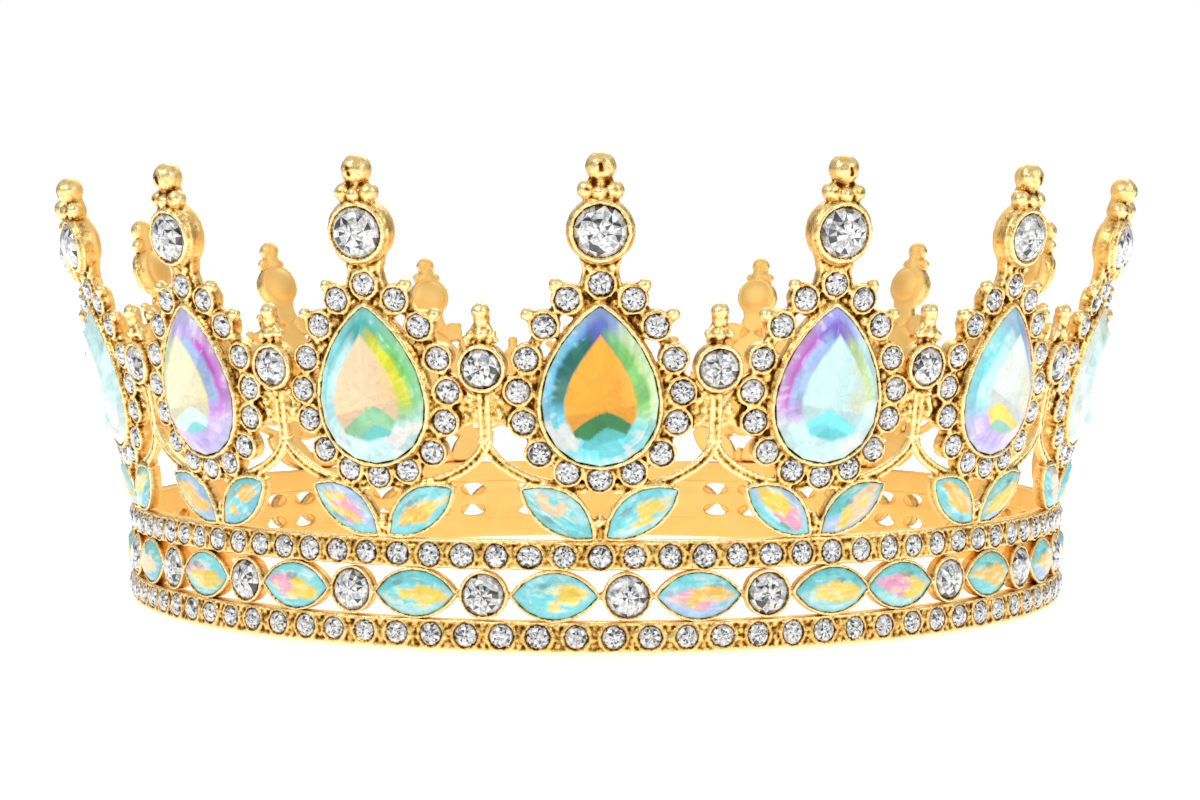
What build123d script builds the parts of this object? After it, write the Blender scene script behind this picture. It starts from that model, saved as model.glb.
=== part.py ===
"""A full round crown: cast panels on a jewelled base, all in millimetres, +Z up.

The crown stands on its lower band, centred on the origin, with its front panel
towards -Y. Azimuths are counted from -Y towards +X, in degrees.
"""

import os
from math import cos, hypot, pi, radians, sin

from build123d import *

# Base: two plain rings of square section, with an open chain between them.
BAND_OUTER_R = 75.0
BAND_THICKNESS = 2.6
LOWER_BAND_Z = (0.0, 4.2)
UPPER_BAND_Z = (10.9, 14.9)
LOWER_STONE_COUNT = 96
UPPER_STONE_COUNT = 102
LOWER_STONE_Z = 2.15
UPPER_STONE_Z = 12.75
LOWER_STONE_PHASE = 1.3
BAND_STONE_R = 1.62
BAND_POCKET_DEPTH = 0.9
BAND_STONE_CROWN = 0.65

# Chain: almond and round cups in turn, with two almonds side by side once.
CHAIN_Z = 7.55
CHAIN_FLOOR_R = 74.1
CHAIN_ALMOND_COUNT = 25
CHAIN_JOINT_AZIMUTH = 29.1
CHAIN_JOINT_SPAN = 8.8
CHAIN_ALMOND_HALF = (5.66, 3.34)
CHAIN_ALMOND_STONE_HALF = (5.05, 2.72)
CHAIN_ROUND_R = 2.95
CHAIN_ROUND_STONE_R = 2.55
CHAIN_STONE_CROWN = 1.0
CHAIN_LUG_WIDTH = 1.1
CUP_BACK = 1.2
CUP_RIM = 0.8

# Wall: flat panels that lean outwards from the top of the upper band,
# least at the front and most at the back.
PANEL_COUNT = 16
PITCH = 360.0 / PANEL_COUNT
WALL_FOOT_R = 74.4
WALL_FOOT_Z = UPPER_BAND_Z[1]
MEAN_SLOPE = 0.265
SLOPE_SWING = 0.11
PANEL_SETBACK = 0.4
POST_SETBACK = -0.5
PLATE_BACK = 1.2
PLATE_FRONT = 0.9

# The panels are tallest at the front and fall off towards the back.
BACK_DROP = 0.23
DROP_POWER = 2.5
SIZE_SHARE = 0.5
WIDTH_SHARE = 0.25

# Panel layout: (across, height above the table) on the front panel.
HALO_STONE_R = 1.58
HALO_STONE_CROWN = 0.6
HALO_CUP_R = 2.06
HALO_SIDE = [
    (4.2, 46.6),
    (7.2, 43.15),
    (9.55, 38.9),
    (10.6, 34.65),
    (9.9, 30.65),
    (7.85, 26.6),
    (4.2, 24.15),
]
HALO_TOP_Z = 48.6
HALO_BOTTOM_Z = 23.25
HORN_BALLS = [(5.6, 48.3), (9.25, 44.5)]
HORN_R = 0.95

DROP_HALF_WIDTH = 7.45
DROP_Z = (25.1, 45.7)
DROP_SHAPE = 0.6
DROP_RIM = 0.55
DROP_COLLAR = 2.3
DROP_STONE_HEIGHT = 3.4
DROP_CORNERS = 12

NECK_HALF_WIDTH = 2.5
SPIRE_Z = 55.0
SPIRE_CUP_R = 4.25
SPIRE_STONE_R = 3.25
SPIRE_STONE_GIRDLE = 1.8
SPIRE_STONE_CROWN = 1.1
SPIRE_FRONT = 2.1
CLUSTER = [(-1.9, 60.1), (0.0, 60.5), (1.9, 60.1)]
CLUSTER_R = 1.05
TIP_Z = 62.9
TIP_R = 1.95
SPIRE_SPINE_WIDTH = 2.6

# A leaf: its foot, its tip and its half width.
LEAF_FOOT = (0.95, 15.45)
LEAF_TIP = (10.1, 21.7)
LEAF_HALF_WIDTH = 2.45
LEAF_RIM = 0.5
LEAF_STONE_CROWN = 0.9

# The rim that sweeps from each post down under the halo.
SWAG = [(14.35, 27.9), (13.6, 25.7), (11.4, 24.1), (8.6, 22.9), (5.2, 22.0), (2.6, 21.7)]
SWAG_WIDTH = 1.5
WEB = [(9.2, 37.6), (12.6, 34.9), (13.8, 33.9), (13.8, 29.2), (12.4, 29.8), (9.9, 29.0)]

# Post between two panels.
POST_STONE_Z = 37.7
POST_CUP_R = 3.15
POST_STONE_R = 2.6
POST_STONE_CROWN = 1.1
POST_FRONT = 1.7
POST_RIB_HALF_WIDTH = 0.95
POST_FOOT_Z = 28.6
POST_CLUSTER = [(-1.05, 42.2, 0.0), (0.0, 42.5, 0.7), (1.05, 42.2, 0.0)]
POST_CLUSTER_R = 0.8
POST_TIP_Z = 44.8
POST_TIP_R = 1.25
POST_SPINE_WIDTH = 1.4

POST_ACROSS = 15.5
POST_ROOM = 0.35
SPINE_REACH = 0.35
STEM_WIDTH = 1.6
STEM_DIP = 0.5

# Width of a stone's flat top, as a share of the stone's width.
ROUND_TABLE = 0.58
ALMOND_TABLE = 0.5
PANEL_TABLE = 0.55

SEAT_GAP = 0.03
PLATE_GAP = 0.02
LONG_CUT = 8.0


def height_factor(azimuth):
    """Share of the front panel's height that a panel has at this azimuth."""
    return 1.0 - BACK_DROP * ((1.0 - cos(radians(azimuth))) / 2.0) ** DROP_POWER


def wall_slope(azimuth):
    """How far the wall leans out for each millimetre of height at this azimuth."""
    return MEAN_SLOPE - SLOPE_SWING * cos(radians(azimuth))


class PanelFrame:
    """Maps the front panel's layout onto a leaning plane at one azimuth."""

    def __init__(self, azimuth, setback):
        fall = 1.0 - height_factor(azimuth)
        slope = wall_slope(azimuth)
        self.tall = (1.0 - fall) * hypot(1.0, slope)
        self.wide = 1.0 - fall * WIDTH_SHARE
        self.size = 1.0 - fall * SIZE_SHARE
        angle = radians(azimuth)
        outward = Vector(sin(angle), -cos(angle), 0.0)
        foot = outward * (WALL_FOOT_R - setback) + Vector(0, 0, WALL_FOOT_Z)
        normal = (outward - Vector(0, 0, slope)) / hypot(1.0, slope)
        self.location = Plane(origin=foot, x_dir=(cos(angle), sin(angle), 0.0), z_dir=normal).location

    def flat(self, across, z):
        """Point of the layout in the plane's own axes, across and up the slope."""
        return across * self.wide, (z - WALL_FOOT_Z) * self.tall

    def at(self, across, z, depth=0.0):
        """Shift to that point of the plane, moved outwards by depth."""
        x, y = self.flat(across, z)
        return Pos(x, y, depth)


def base_plane(azimuth, z, radius):
    """Upright plane that faces outwards at a radius from the axis."""
    angle = radians(azimuth)
    outward = Vector(sin(angle), -cos(angle), 0.0)
    along = Vector(cos(angle), sin(angle), 0.0)
    return Plane(origin=outward * radius + Vector(0, 0, z), x_dir=along, z_dir=outward)


def polygon(points):
    """Face inside a closed run of straight lines."""
    return make_face(Polyline(*points, close=True))


def strip(points, width):
    """Band of even width along a run of points."""
    left = []
    right = []
    for index, (x, y) in enumerate(points):
        before = points[max(index - 1, 0)]
        after = points[min(index + 1, len(points) - 1)]
        run_x, run_y = after[0] - before[0], after[1] - before[1]
        length = hypot(run_x, run_y)
        shift_x = -run_y / length * width / 2
        shift_y = run_x / length * width / 2
        left.append((x + shift_x, y + shift_y))
        right.append((x - shift_x, y - shift_y))
    return polygon(left + right[::-1])


def drop_points(half_width, low, high, corners):
    """Corners of a pear outline, point upwards, starting at the point."""
    peak = 0.0
    side = []
    for step in range(corners + 1):
        turn = pi * step / corners
        reach = sin(turn) * sin(turn / 2) ** DROP_SHAPE
        peak = max(peak, reach)
        side.append((reach, (low + high) / 2 + (high - low) / 2 * cos(turn)))
    right = [(reach / peak * half_width, y) for reach, y in side]
    left = [(-x, y) for x, y in right[1:-1]]
    return right + left[::-1]


def almond_points(half_length, half_width, corners=6):
    """Corners of a pointed oval whose length lies along x."""
    radius = (half_length**2 + half_width**2) / (2 * half_width)
    top = []
    for step in range(corners + 1):
        x = -half_length + 2 * half_length * step / corners
        top.append((x, (radius**2 - x**2) ** 0.5 - (radius - half_width)))
    bottom = [(x, -y) for x, y in top[1:-1]]
    return top + bottom[::-1]


def round_stone(radius, girdle, crown):
    """Round stone standing on its flat back, narrowing to a table."""
    table = radius * ROUND_TABLE
    half = polygon([(0, 0), (radius, 0), (radius, girdle), (table, girdle + crown), (0, girdle + crown)])
    return revolve(Plane.XZ * half, Axis.Z)


def cut_stone(points, girdle, crown, table_share):
    """Stone with straight edges round its outline, narrowing to a table."""
    outline = polygon(points)
    lift = girdle + crown
    middle_x = sum(x for x, _ in points) / len(points)
    middle_y = sum(y for _, y in points) / len(points)
    inner = []
    for x, y in points:
        inner.append((middle_x + (x - middle_x) * table_share, middle_y + (y - middle_y) * table_share))
    body = extrude(outline, girdle)
    top = loft([Pos(0, 0, girdle) * outline, Pos(0, 0, lift) * polygon(inner)], ruled=True)
    return body + top


def both_sides(points):
    """The points and their mirror images across the panel's middle."""
    return points + [(-x, y) for x, y in points]


def halo_layout():
    """Centres of the small stones round the pear stone."""
    return [(0.0, HALO_TOP_Z), (0.0, HALO_BOTTOM_Z)] + both_sides(HALO_SIDE)


def panel_outline(frame):
    """Outline of one panel's plate."""
    size = frame.size
    right = [frame.flat(x, z) for x, z in HALO_SIDE]
    left = [(-x, y) for x, y in right[::-1]]
    ring = [frame.flat(0.0, HALO_TOP_Z)] + right + [frame.flat(0.0, HALO_BOTTOM_Z)] + left
    face = polygon(ring)
    for x, y in ring:
        face += Pos(x, y) * Circle(HALO_CUP_R * size)
    low = frame.flat(0.0, HALO_TOP_Z)[1]
    high = frame.flat(0.0, SPIRE_Z)[1]
    face += Pos(0, (low + high) / 2) * Rectangle(2 * NECK_HALF_WIDTH * size, high - low)
    face += Pos(0, high) * Circle(SPIRE_CUP_R * size)
    for side in (1, -1):
        face += polygon([frame.flat(side * x, z) for x, z in WEB])
        face += strip([frame.flat(side * x, z) for x, z in SWAG], SWAG_WIDTH * size)
        face += leaf_face(frame, side, LEAF_RIM)
        face -= frame.at(side * POST_ACROSS, POST_STONE_Z) * Circle(POST_CUP_R * size + POST_ROOM)
    top = frame.flat(0.0, LEAF_TIP[1])[1]
    face += Pos(0, (top - STEM_DIP) / 2) * Rectangle(STEM_WIDTH * size, top + STEM_DIP)
    return face + spine(frame, SPIRE_Z, TIP_Z, SPIRE_SPINE_WIDTH)


def spine(frame, low_z, high_z, width):
    """Upright strip that carries the balls on top of a cup, ending inside the top ball."""
    low = frame.flat(0.0, low_z)[1]
    high = frame.flat(0.0, high_z)[1] + SPINE_REACH * frame.size
    return Pos(0, (low + high) / 2) * Rectangle(width * frame.size, high - low)


def leaf_face(frame, side, extra):
    """Outline of one leaf, grown by extra, where it lies on the panel."""
    foot = frame.flat(side * LEAF_FOOT[0], LEAF_FOOT[1])
    tip = frame.flat(side * LEAF_TIP[0], LEAF_TIP[1])
    return polygon(leaf_points(foot, tip, LEAF_HALF_WIDTH * frame.size, extra))


def leaf_points(foot, tip, half_width, extra):
    """Corners of a pointed oval between two points, grown by extra."""
    run_x, run_y = tip[0] - foot[0], tip[1] - foot[1]
    length = hypot(run_x, run_y)
    run_x, run_y = run_x / length, run_y / length
    middle_x, middle_y = (foot[0] + tip[0]) / 2, (foot[1] + tip[1]) / 2
    points = []
    for x, y in almond_points(length / 2 + extra, half_width + extra):
        points.append((middle_x + x * run_x - y * run_y, middle_y + x * run_y + y * run_x))
    return points


def drop_face(frame, extra):
    """Pear outline at a panel's scale, grown by extra, where it lies on the panel."""
    return polygon(drop_corners(frame, extra))


def drop_corners(frame, extra):
    """Corners of that pear outline."""
    low = frame.flat(0.0, DROP_Z[0])[1] - extra
    high = frame.flat(0.0, DROP_Z[1])[1] + extra
    return drop_points(DROP_HALF_WIDTH * frame.wide + extra, low, high, DROP_CORNERS)


def make_panel(azimuth):
    """Cast plate of one panel, with its pockets, collar, cup and balls."""
    frame = PanelFrame(azimuth, PANEL_SETBACK)
    size = frame.size
    outline = panel_outline(frame)
    drop_pocket = drop_face(frame, SEAT_GAP)
    spire_pocket = frame.at(0.0, SPIRE_Z) * Circle(SPIRE_STONE_R * size + SEAT_GAP)
    pockets = [drop_pocket, spire_pocket]
    for x, z in halo_layout():
        pockets.append(frame.at(x, z) * Circle(HALO_STONE_R * size + SEAT_GAP))
    for side in (1, -1):
        pockets.append(leaf_face(frame, side, SEAT_GAP))
    open_outline = outline - pockets
    spire_ring = frame.at(0.0, SPIRE_Z) * Circle(SPIRE_CUP_R * size) - spire_pocket

    panel = extrude(outline, -PLATE_BACK) + extrude(open_outline, PLATE_FRONT)
    panel += extrude(drop_face(frame, DROP_RIM * size) - drop_pocket, DROP_COLLAR * size)
    panel += extrude(spire_ring, SPIRE_FRONT * size)
    balls = [(x, z, CLUSTER_R) for x, z in CLUSTER]
    balls.append((0.0, TIP_Z, TIP_R))
    balls += [(x, z, HORN_R) for x, z in both_sides(HORN_BALLS)]
    for x, z, radius in balls:
        panel += frame.at(x, z) * Sphere(radius * size)
    room = 2 * BAND_OUTER_R + LONG_CUT
    below = Pos(0, 0, WALL_FOOT_Z + PLATE_GAP - room / 2) * Box(room, room, room)
    return frame.location * panel - below


def make_post(azimuth):
    """Post with its cup, the balls on top and the rib below."""
    frame = PanelFrame(azimuth, POST_SETBACK)
    size = frame.size
    cup = frame.at(0.0, POST_STONE_Z) * Circle(POST_CUP_R * size)
    pocket = frame.at(0.0, POST_STONE_Z) * Circle(POST_STONE_R * size + SEAT_GAP)
    low = frame.flat(0.0, POST_FOOT_Z)[1]
    high = frame.flat(0.0, POST_STONE_Z)[1]
    rib = Pos(0, (low + high) / 2) * Rectangle(2 * POST_RIB_HALF_WIDTH * size, high - low)
    stem = rib + spine(frame, POST_STONE_Z, POST_TIP_Z, POST_SPINE_WIDTH)
    post = extrude(cup + stem, -PLATE_BACK)
    post += extrude(stem - cup, PLATE_FRONT)
    post += extrude(cup - pocket, POST_FRONT * size)
    for x, z, depth in POST_CLUSTER:
        post += frame.at(x, z, depth) * Sphere(POST_CLUSTER_R * size)
    post += frame.at(0.0, POST_TIP_Z) * Sphere(POST_TIP_R * size)
    return frame.location * post


def chain_azimuths():
    """Azimuths of the almond cups and of the round cups."""
    spaces = 2 * CHAIN_ALMOND_COUNT - 2
    step = (360.0 - CHAIN_JOINT_SPAN) / spaces
    start = CHAIN_JOINT_AZIMUTH + CHAIN_JOINT_SPAN / 2
    places = [start + step * index for index in range(spaces + 1)]
    return places[0::2], places[1::2]


def make_band(span, stone_z, azimuths):
    """Ring with a row of round pockets in its outer face."""
    low, high = span
    ring = Pos(0, 0, (low + high) / 2) * (
        Cylinder(BAND_OUTER_R, high - low) - Cylinder(BAND_OUTER_R - BAND_THICKNESS, high - low)
    )
    pockets = []
    for azimuth in azimuths:
        plane = base_plane(azimuth, stone_z, BAND_OUTER_R - BAND_POCKET_DEPTH)
        pockets.append(plane.location * extrude(Circle(BAND_STONE_R + SEAT_GAP), LONG_CUT))
    return ring - pockets


def band_stones(stone_z, azimuths):
    """Row of round stones that sit in a band's pockets."""
    stone = round_stone(BAND_STONE_R, BAND_POCKET_DEPTH, BAND_STONE_CROWN)
    radius = BAND_OUTER_R - BAND_POCKET_DEPTH + SEAT_GAP
    return [base_plane(azimuth, stone_z, radius).location * stone for azimuth in azimuths]


def chain_cups(azimuths, outline, pocket):
    """Cups of the chain, each an outline with a pocket in its face."""
    cup = extrude(outline, CUP_BACK + CUP_RIM) - Pos(0, 0, CUP_BACK) * extrude(pocket, LONG_CUT)
    radius = CHAIN_FLOOR_R - CUP_BACK
    return [base_plane(azimuth, CHAIN_Z, radius).location * cup for azimuth in azimuths]


def chain_stones(azimuths, stone):
    """Stones of the chain, seated in their cups."""
    radius = CHAIN_FLOOR_R + SEAT_GAP
    return [base_plane(azimuth, CHAIN_Z, radius).location * stone for azimuth in azimuths]


def round_cup_outline():
    """Round cup with lugs that reach both bands and both almond points."""
    step = radians((360.0 - CHAIN_JOINT_SPAN) / (2 * CHAIN_ALMOND_COUNT - 2))
    reach = CHAIN_FLOOR_R * step - CHAIN_ALMOND_HALF[0] - PLATE_GAP
    tall = UPPER_BAND_Z[0] - LOWER_BAND_Z[1] - 2 * PLATE_GAP
    return Circle(CHAIN_ROUND_R) + Rectangle(CHAIN_LUG_WIDTH, tall) + Rectangle(2 * reach, CHAIN_LUG_WIDTH)


def panel_stones(azimuth):
    """Stones of one panel, in groups."""
    frame = PanelFrame(azimuth, PANEL_SETBACK)
    size = frame.size
    small = round_stone(HALO_STONE_R * size, PLATE_FRONT, HALO_STONE_CROWN * size)
    halo = [frame.at(x, z, SEAT_GAP) * small for x, z in halo_layout()]
    large = round_stone(SPIRE_STONE_R * size, SPIRE_STONE_GIRDLE * size, SPIRE_STONE_CROWN * size)
    spire = frame.at(0.0, SPIRE_Z, SEAT_GAP) * large
    leaves = []
    for side in (1, -1):
        foot = frame.flat(side * LEAF_FOOT[0], LEAF_FOOT[1])
        tip = frame.flat(side * LEAF_TIP[0], LEAF_TIP[1])
        points = leaf_points(foot, tip, LEAF_HALF_WIDTH * size, 0.0)
        leaf = cut_stone(points, PLATE_FRONT, LEAF_STONE_CROWN * size, PANEL_TABLE)
        leaves.append(Pos(0, 0, SEAT_GAP) * leaf)
    girdle = DROP_COLLAR * size
    crown = (DROP_STONE_HEIGHT - DROP_COLLAR) * size
    drop = Pos(0, 0, SEAT_GAP) * cut_stone(drop_corners(frame, 0.0), girdle, crown, PANEL_TABLE)
    groups = {"halo": halo, "spire": [spire], "leaf": leaves, "drop": [drop]}
    return {name: [frame.location * stone for stone in stones] for name, stones in groups.items()}


def save(name, solids):
    """Write one node, as a single solid or as a group of solids."""
    shape = solids[0] if len(solids) == 1 else Compound(children=solids)
    export_step(shape, f"parts/{name}.step")


def main():
    os.makedirs("parts", exist_ok=True)
    panel_azimuths = [PITCH * index for index in range(PANEL_COUNT)]
    lower = [LOWER_STONE_PHASE + 360.0 / LOWER_STONE_COUNT * i for i in range(LOWER_STONE_COUNT)]
    upper = [360.0 / UPPER_STONE_COUNT * i for i in range(UPPER_STONE_COUNT)]
    save("lower_band", [make_band(LOWER_BAND_Z, LOWER_STONE_Z, lower)])
    save("upper_band", [make_band(UPPER_BAND_Z, UPPER_STONE_Z, upper)])
    save("lower_band_stones", band_stones(LOWER_STONE_Z, lower))
    save("upper_band_stones", band_stones(UPPER_STONE_Z, upper))

    almonds, rounds = chain_azimuths()
    almond = polygon(almond_points(*CHAIN_ALMOND_HALF))
    almond_pocket = polygon(
        almond_points(CHAIN_ALMOND_STONE_HALF[0] + SEAT_GAP, CHAIN_ALMOND_STONE_HALF[1] + SEAT_GAP)
    )
    almond_points_inside = almond_points(*CHAIN_ALMOND_STONE_HALF)
    almond_stone = cut_stone(almond_points_inside, CUP_RIM, CHAIN_STONE_CROWN, ALMOND_TABLE)
    round_pocket = Circle(CHAIN_ROUND_STONE_R + SEAT_GAP)
    save("chain_almond_cups", chain_cups(almonds, almond, almond_pocket))
    save("chain_round_cups", chain_cups(rounds, round_cup_outline(), round_pocket))
    save("chain_almond_stones", chain_stones(almonds, almond_stone))
    round_one = round_stone(CHAIN_ROUND_STONE_R, CUP_RIM, CHAIN_STONE_CROWN)
    save("chain_round_stones", chain_stones(rounds, round_one))

    gathered = {"halo": [], "spire": [], "leaf": []}
    for index, azimuth in enumerate(panel_azimuths):
        number = f"{index + 1:02d}"
        save(f"panel_{number}", [make_panel(azimuth)])
        stones = panel_stones(azimuth)
        save(f"pear_stone_{number}", stones.pop("drop"))
        for name, group in stones.items():
            gathered[name] += group
    for name, group in gathered.items():
        save(f"{name}_stones", group)

    post_azimuths = [azimuth + PITCH / 2 for azimuth in panel_azimuths]
    save("posts", [make_post(azimuth) for azimuth in post_azimuths])
    post_stones = []
    for azimuth in post_azimuths:
        frame = PanelFrame(azimuth, POST_SETBACK)
        size = frame.size
        stone = round_stone(POST_STONE_R * size, POST_FRONT * size, POST_STONE_CROWN * size)
        post_stones.append(frame.location * frame.at(0.0, POST_STONE_Z, SEAT_GAP) * stone)
    save("post_stones", post_stones)


main()
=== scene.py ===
import itertools
import math
import random

import bpy
import numpy as np
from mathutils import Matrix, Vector
from mathutils.kdtree import KDTree


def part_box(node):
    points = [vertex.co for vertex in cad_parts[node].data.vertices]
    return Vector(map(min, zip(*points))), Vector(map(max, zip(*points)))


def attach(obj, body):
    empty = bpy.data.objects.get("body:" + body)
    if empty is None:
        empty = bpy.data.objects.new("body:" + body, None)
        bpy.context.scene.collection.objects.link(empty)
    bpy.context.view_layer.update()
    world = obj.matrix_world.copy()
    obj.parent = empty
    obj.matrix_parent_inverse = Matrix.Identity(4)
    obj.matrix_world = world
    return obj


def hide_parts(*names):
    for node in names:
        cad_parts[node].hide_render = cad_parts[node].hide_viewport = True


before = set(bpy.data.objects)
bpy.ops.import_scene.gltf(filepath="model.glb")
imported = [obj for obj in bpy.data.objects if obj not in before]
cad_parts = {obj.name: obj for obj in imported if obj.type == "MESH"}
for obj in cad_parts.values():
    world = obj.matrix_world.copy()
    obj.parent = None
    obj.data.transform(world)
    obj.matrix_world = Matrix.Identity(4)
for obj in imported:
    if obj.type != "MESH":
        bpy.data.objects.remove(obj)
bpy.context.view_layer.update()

MM = 0.001
# Grid on which the castings are fused.
VOXEL = 0.23
# How wide painted shade spreads from a seam, and how far apart a seam's points are.
SEAM_WIDTH = 0.27
SEAM_STEP = 0.3

# Depths of the castings' backs behind the wall's face, and painted shade at a stone's edge.
CUP_BACK = -1.2
SPIRE_BACK = -1.3
FLAT_BACK = -1.1
WEB_BACK = -1.0
STONE_SHADE = 0.65

# The castings' skin: where its rough front starts, its bumps, and how much painted shade darkens its
# hollows.
FRONT_FROM = -0.9
FRONT_FADE = 0.6
COARSE_BUMP = 0.9
FINE_BUMP = 0.45
BUMP_SHARE = 0.6
SWELL = 0.05
SWELL_PITCH = 3.0
CAVITY_GAIN = 3.8

# The view and the light. The camera's distance and height are in band radii.
CAMERA_AWAY = 4.79
CAMERA_HEIGHT = 0.6115
CAMERA_TURN = math.radians(-0.4)
CAMERA_TILT = 0.0439
CAMERA_LENS = 65.44
CAMERA_SHIFT = 0.0033
SKY_STRENGTH = 0.68
FLOOR_HALF = 4.0
FLOOR_Z = -0.0004
WHITE = (1.0, 1.0, 1.0, 1.0)

# ---- frame sizes, in millimetres

lower_low, lower_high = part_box("lower_band")
upper_low, upper_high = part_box("upper_band")
BAND_R = lower_high.x / MM
LOWER_Z = (lower_low.z / MM, lower_high.z / MM)
UPPER_Z = (upper_low.z / MM, upper_high.z / MM)
FOOT_Z = UPPER_Z[1]
BAND_BACK = 2.6

PANELS = 16
PITCH = 360.0 / PANELS
FOOT_R = BAND_R - 0.6
MEAN_SLOPE = 0.265
SLOPE_SWING = 0.11
SIZE_SHARE = 0.5
WIDTH_SHARE = 0.25

LOWER_COUNT = 96
UPPER_COUNT = 102
LOWER_STONE_Z = 2.15
UPPER_STONE_Z = 12.75
LOWER_PHASE = 1.3
BAND_STONE_R = 1.66

CHAIN_Z = 7.55
CHAIN_R = BAND_R - 0.9
ALMONDS = 25
JOINT_AZIMUTH = 29.1
JOINT_SPAN = 8.8
ALMOND_HALF = (5.85, 3.3)
ROUND_R = 2.8
REAR = -0.15
BACK_OPENING_Z = (0.9, 3.2)
BACK_OPENING_HALF = 2.6

HALO = [(4.2, 46.6), (7.2, 43.15), (9.55, 38.9), (10.6, 34.65), (9.9, 30.65), (7.85, 26.6), (4.2, 24.15)]
HALO_TOP = (0.0, 48.6)
HALO_LOW = (0.0, 23.25)
HALO_R = 1.6
HORNS = [(5.7, 48.4), (9.4, 44.6)]
DROP_HALF = 7.45
DROP_Z = (25.1, 45.7)
PEAR_MIDDLE_Z = 33.6
BELOW_LINE = 0.8
PEAR_TABLE = [(0.0, 8.9), (2.4, 5.4), (3.7, 3.1), (4.5, 0.2), (4.4, -2.0), (3.1, -4.4), (0.0, -5.3)]
SPIRE_Z = 55.35
SPIRE_R = 3.35
TIP_Z = 63.3
LEAF_FOOT = (0.95, 15.45)
LEAF_TIP = (10.1, 21.7)
LEAF_HALF = 2.55
SWAG = [
    (15.5, 28.6),
    (14.6, 26.9),
    (13.2, 25.3),
    (11.3, 24.0),
    (8.9, 22.9),
    (6.4, 22.2),
    (4.0, 21.8),
    (1.8, 21.9),
]
WEB = [
    (9.3, 38.2),
    (12.0, 36.2),
    (13.2, 34.6),
    (15.3, 33.6),
    (15.3, 29.2),
    (13.4, 30.2),
    (11.6, 29.6),
    (9.6, 28.6),
]
NECK = [(-2.9, 47.6), (2.9, 47.6), (2.3, 50.2), (2.9, 52.4), (-2.9, 52.4), (-2.3, 50.2)]
# Beads of the cluster under a spire's ball: across, height, radius, outwards.
CLUSTER = [
    (-1.75, 60.45, 1.3, 0.5),
    (1.75, 60.4, 1.3, 0.5),
    (-0.1, 60.2, 0.95, 1.2),
    (-1.05, 59.35, 0.75, 0.8),
    (1.15, 59.3, 0.75, 0.8),
]
# Painted shade between those beads: across, height, slant, length, outwards, weight.
CLUSTER_MARKS = [
    (-0.95, 60.4, -0.095, 0.8, 1.15, 0.8),
    (0.85, 60.3, 0.085, 0.8, 1.15, 0.8),
    (-0.9, 61.45, -0.09, 0.1, 0.9, 0.8),
    (0.9, 61.45, 0.09, 0.1, 0.9, 0.8),
    (-1.85, 60.6, 0.2, 0.0, 1.75, 0.7),
    (1.9, 60.5, 0.2, 0.0, 1.75, 0.7),
]
# The same beads on a post.
POST_CLUSTER = [
    (-1.35, 42.0, 0.72, 0.2),
    (1.35, 42.0, 0.72, 0.2),
    (0.0, 42.1, 0.85, 0.6),
    (-0.7, 42.7, 0.7, 0.1),
    (0.75, 42.7, 0.7, 0.1),
]
POST_Z = 37.7
POST_R = 2.62


def wall_slope(turn):
    """How far the wall leans out for each millimetre of height, at a turn from -Y."""
    return MEAN_SLOPE - SLOPE_SWING * np.cos(turn)


class Place:
    """One panel's or post's own scale, and its way from the flat layout to the leaning wall."""

    def __init__(self, azimuth):
        number = int(round(azimuth / PITCH)) % PANELS
        share = azimuth / PITCH - math.floor(azimuth / PITCH)
        self.tall = panel_height(number)
        if share > 0.25:
            first = int(math.floor(azimuth / PITCH)) % PANELS
            self.tall = (panel_height(first) + panel_height((first + 1) % PANELS)) / 2
        fall = 1.0 - self.tall
        self.azimuth = math.radians(azimuth)
        self.lean = math.hypot(1.0, wall_slope(self.azimuth))
        self.wide = 1.0 - fall * WIDTH_SHARE
        self.size = 1.0 - fall * SIZE_SHARE

    def flat(self, across, z):
        return across * self.wide, (z - FOOT_Z) * self.tall * self.lean

    def bend(self, points):
        """(across, up the slope, outwards) in mm to the crown's own frame in mm."""
        points = np.asarray(points, float).reshape(-1, 3)
        rise = points[:, 1] / self.lean
        turn = self.azimuth + points[:, 0] / (FOOT_R + rise * wall_slope(self.azimuth))
        slope = wall_slope(turn)
        lean = np.hypot(1.0, slope)
        reach = FOOT_R + rise * slope + points[:, 2] / lean
        height = FOOT_Z + rise - points[:, 2] * slope / lean
        return np.stack([reach * np.sin(turn), -reach * np.cos(turn), height], 1)


class BasePlace:
    """The same for the upright base: across, height, outwards from a radius."""

    def __init__(self, azimuth, z, radius):
        self.azimuth = math.radians(azimuth)
        self.z = z
        self.radius = radius
        self.size = 1.0

    def bend(self, points):
        points = np.asarray(points, float).reshape(-1, 3)
        turn = self.azimuth + points[:, 0] / self.radius
        reach = self.radius + points[:, 2]
        return np.stack([reach * np.sin(turn), -reach * np.cos(turn), self.z + points[:, 1]], 1)


def panel_height(number):
    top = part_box(f"panel_{number + 1:02d}")[1].z / MM
    return (top - FOOT_Z) / (FRONT_TOP - FOOT_Z)


FRONT_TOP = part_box("panel_01")[1].z / MM


# ---- closed shapes, in layout millimetres


class Heap:
    """Closed shapes gathered in the crown's frame, to be fused into one casting."""

    def __init__(self):
        self.points = []
        self.faces = []
        self.seams = []
        self.weights = []
        self.count = 0

    def add(self, place, points, faces):
        bent = place.bend(points)
        self.points.append(bent)
        self.faces += [[index + self.count for index in face] for face in faces]
        self.count += len(bent)

    def seam(self, place, outline, depth, weight=0.5):
        """Line where metal meets a stone or another part, along which shade is painted."""
        run = []
        for i, here in enumerate(outline):
            after = outline[(i + 1) % len(outline)]
            parts = max(1, int(math.dist(here, after) / SEAM_STEP))
            for k in range(parts):
                share = k / parts
                x, y = (h * (1 - share) + a * share for h, a in zip(here, after))
                run.append((x, y, depth))
        self.seams.append(place.bend(run))
        self.weights += [weight] * len(run)


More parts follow.
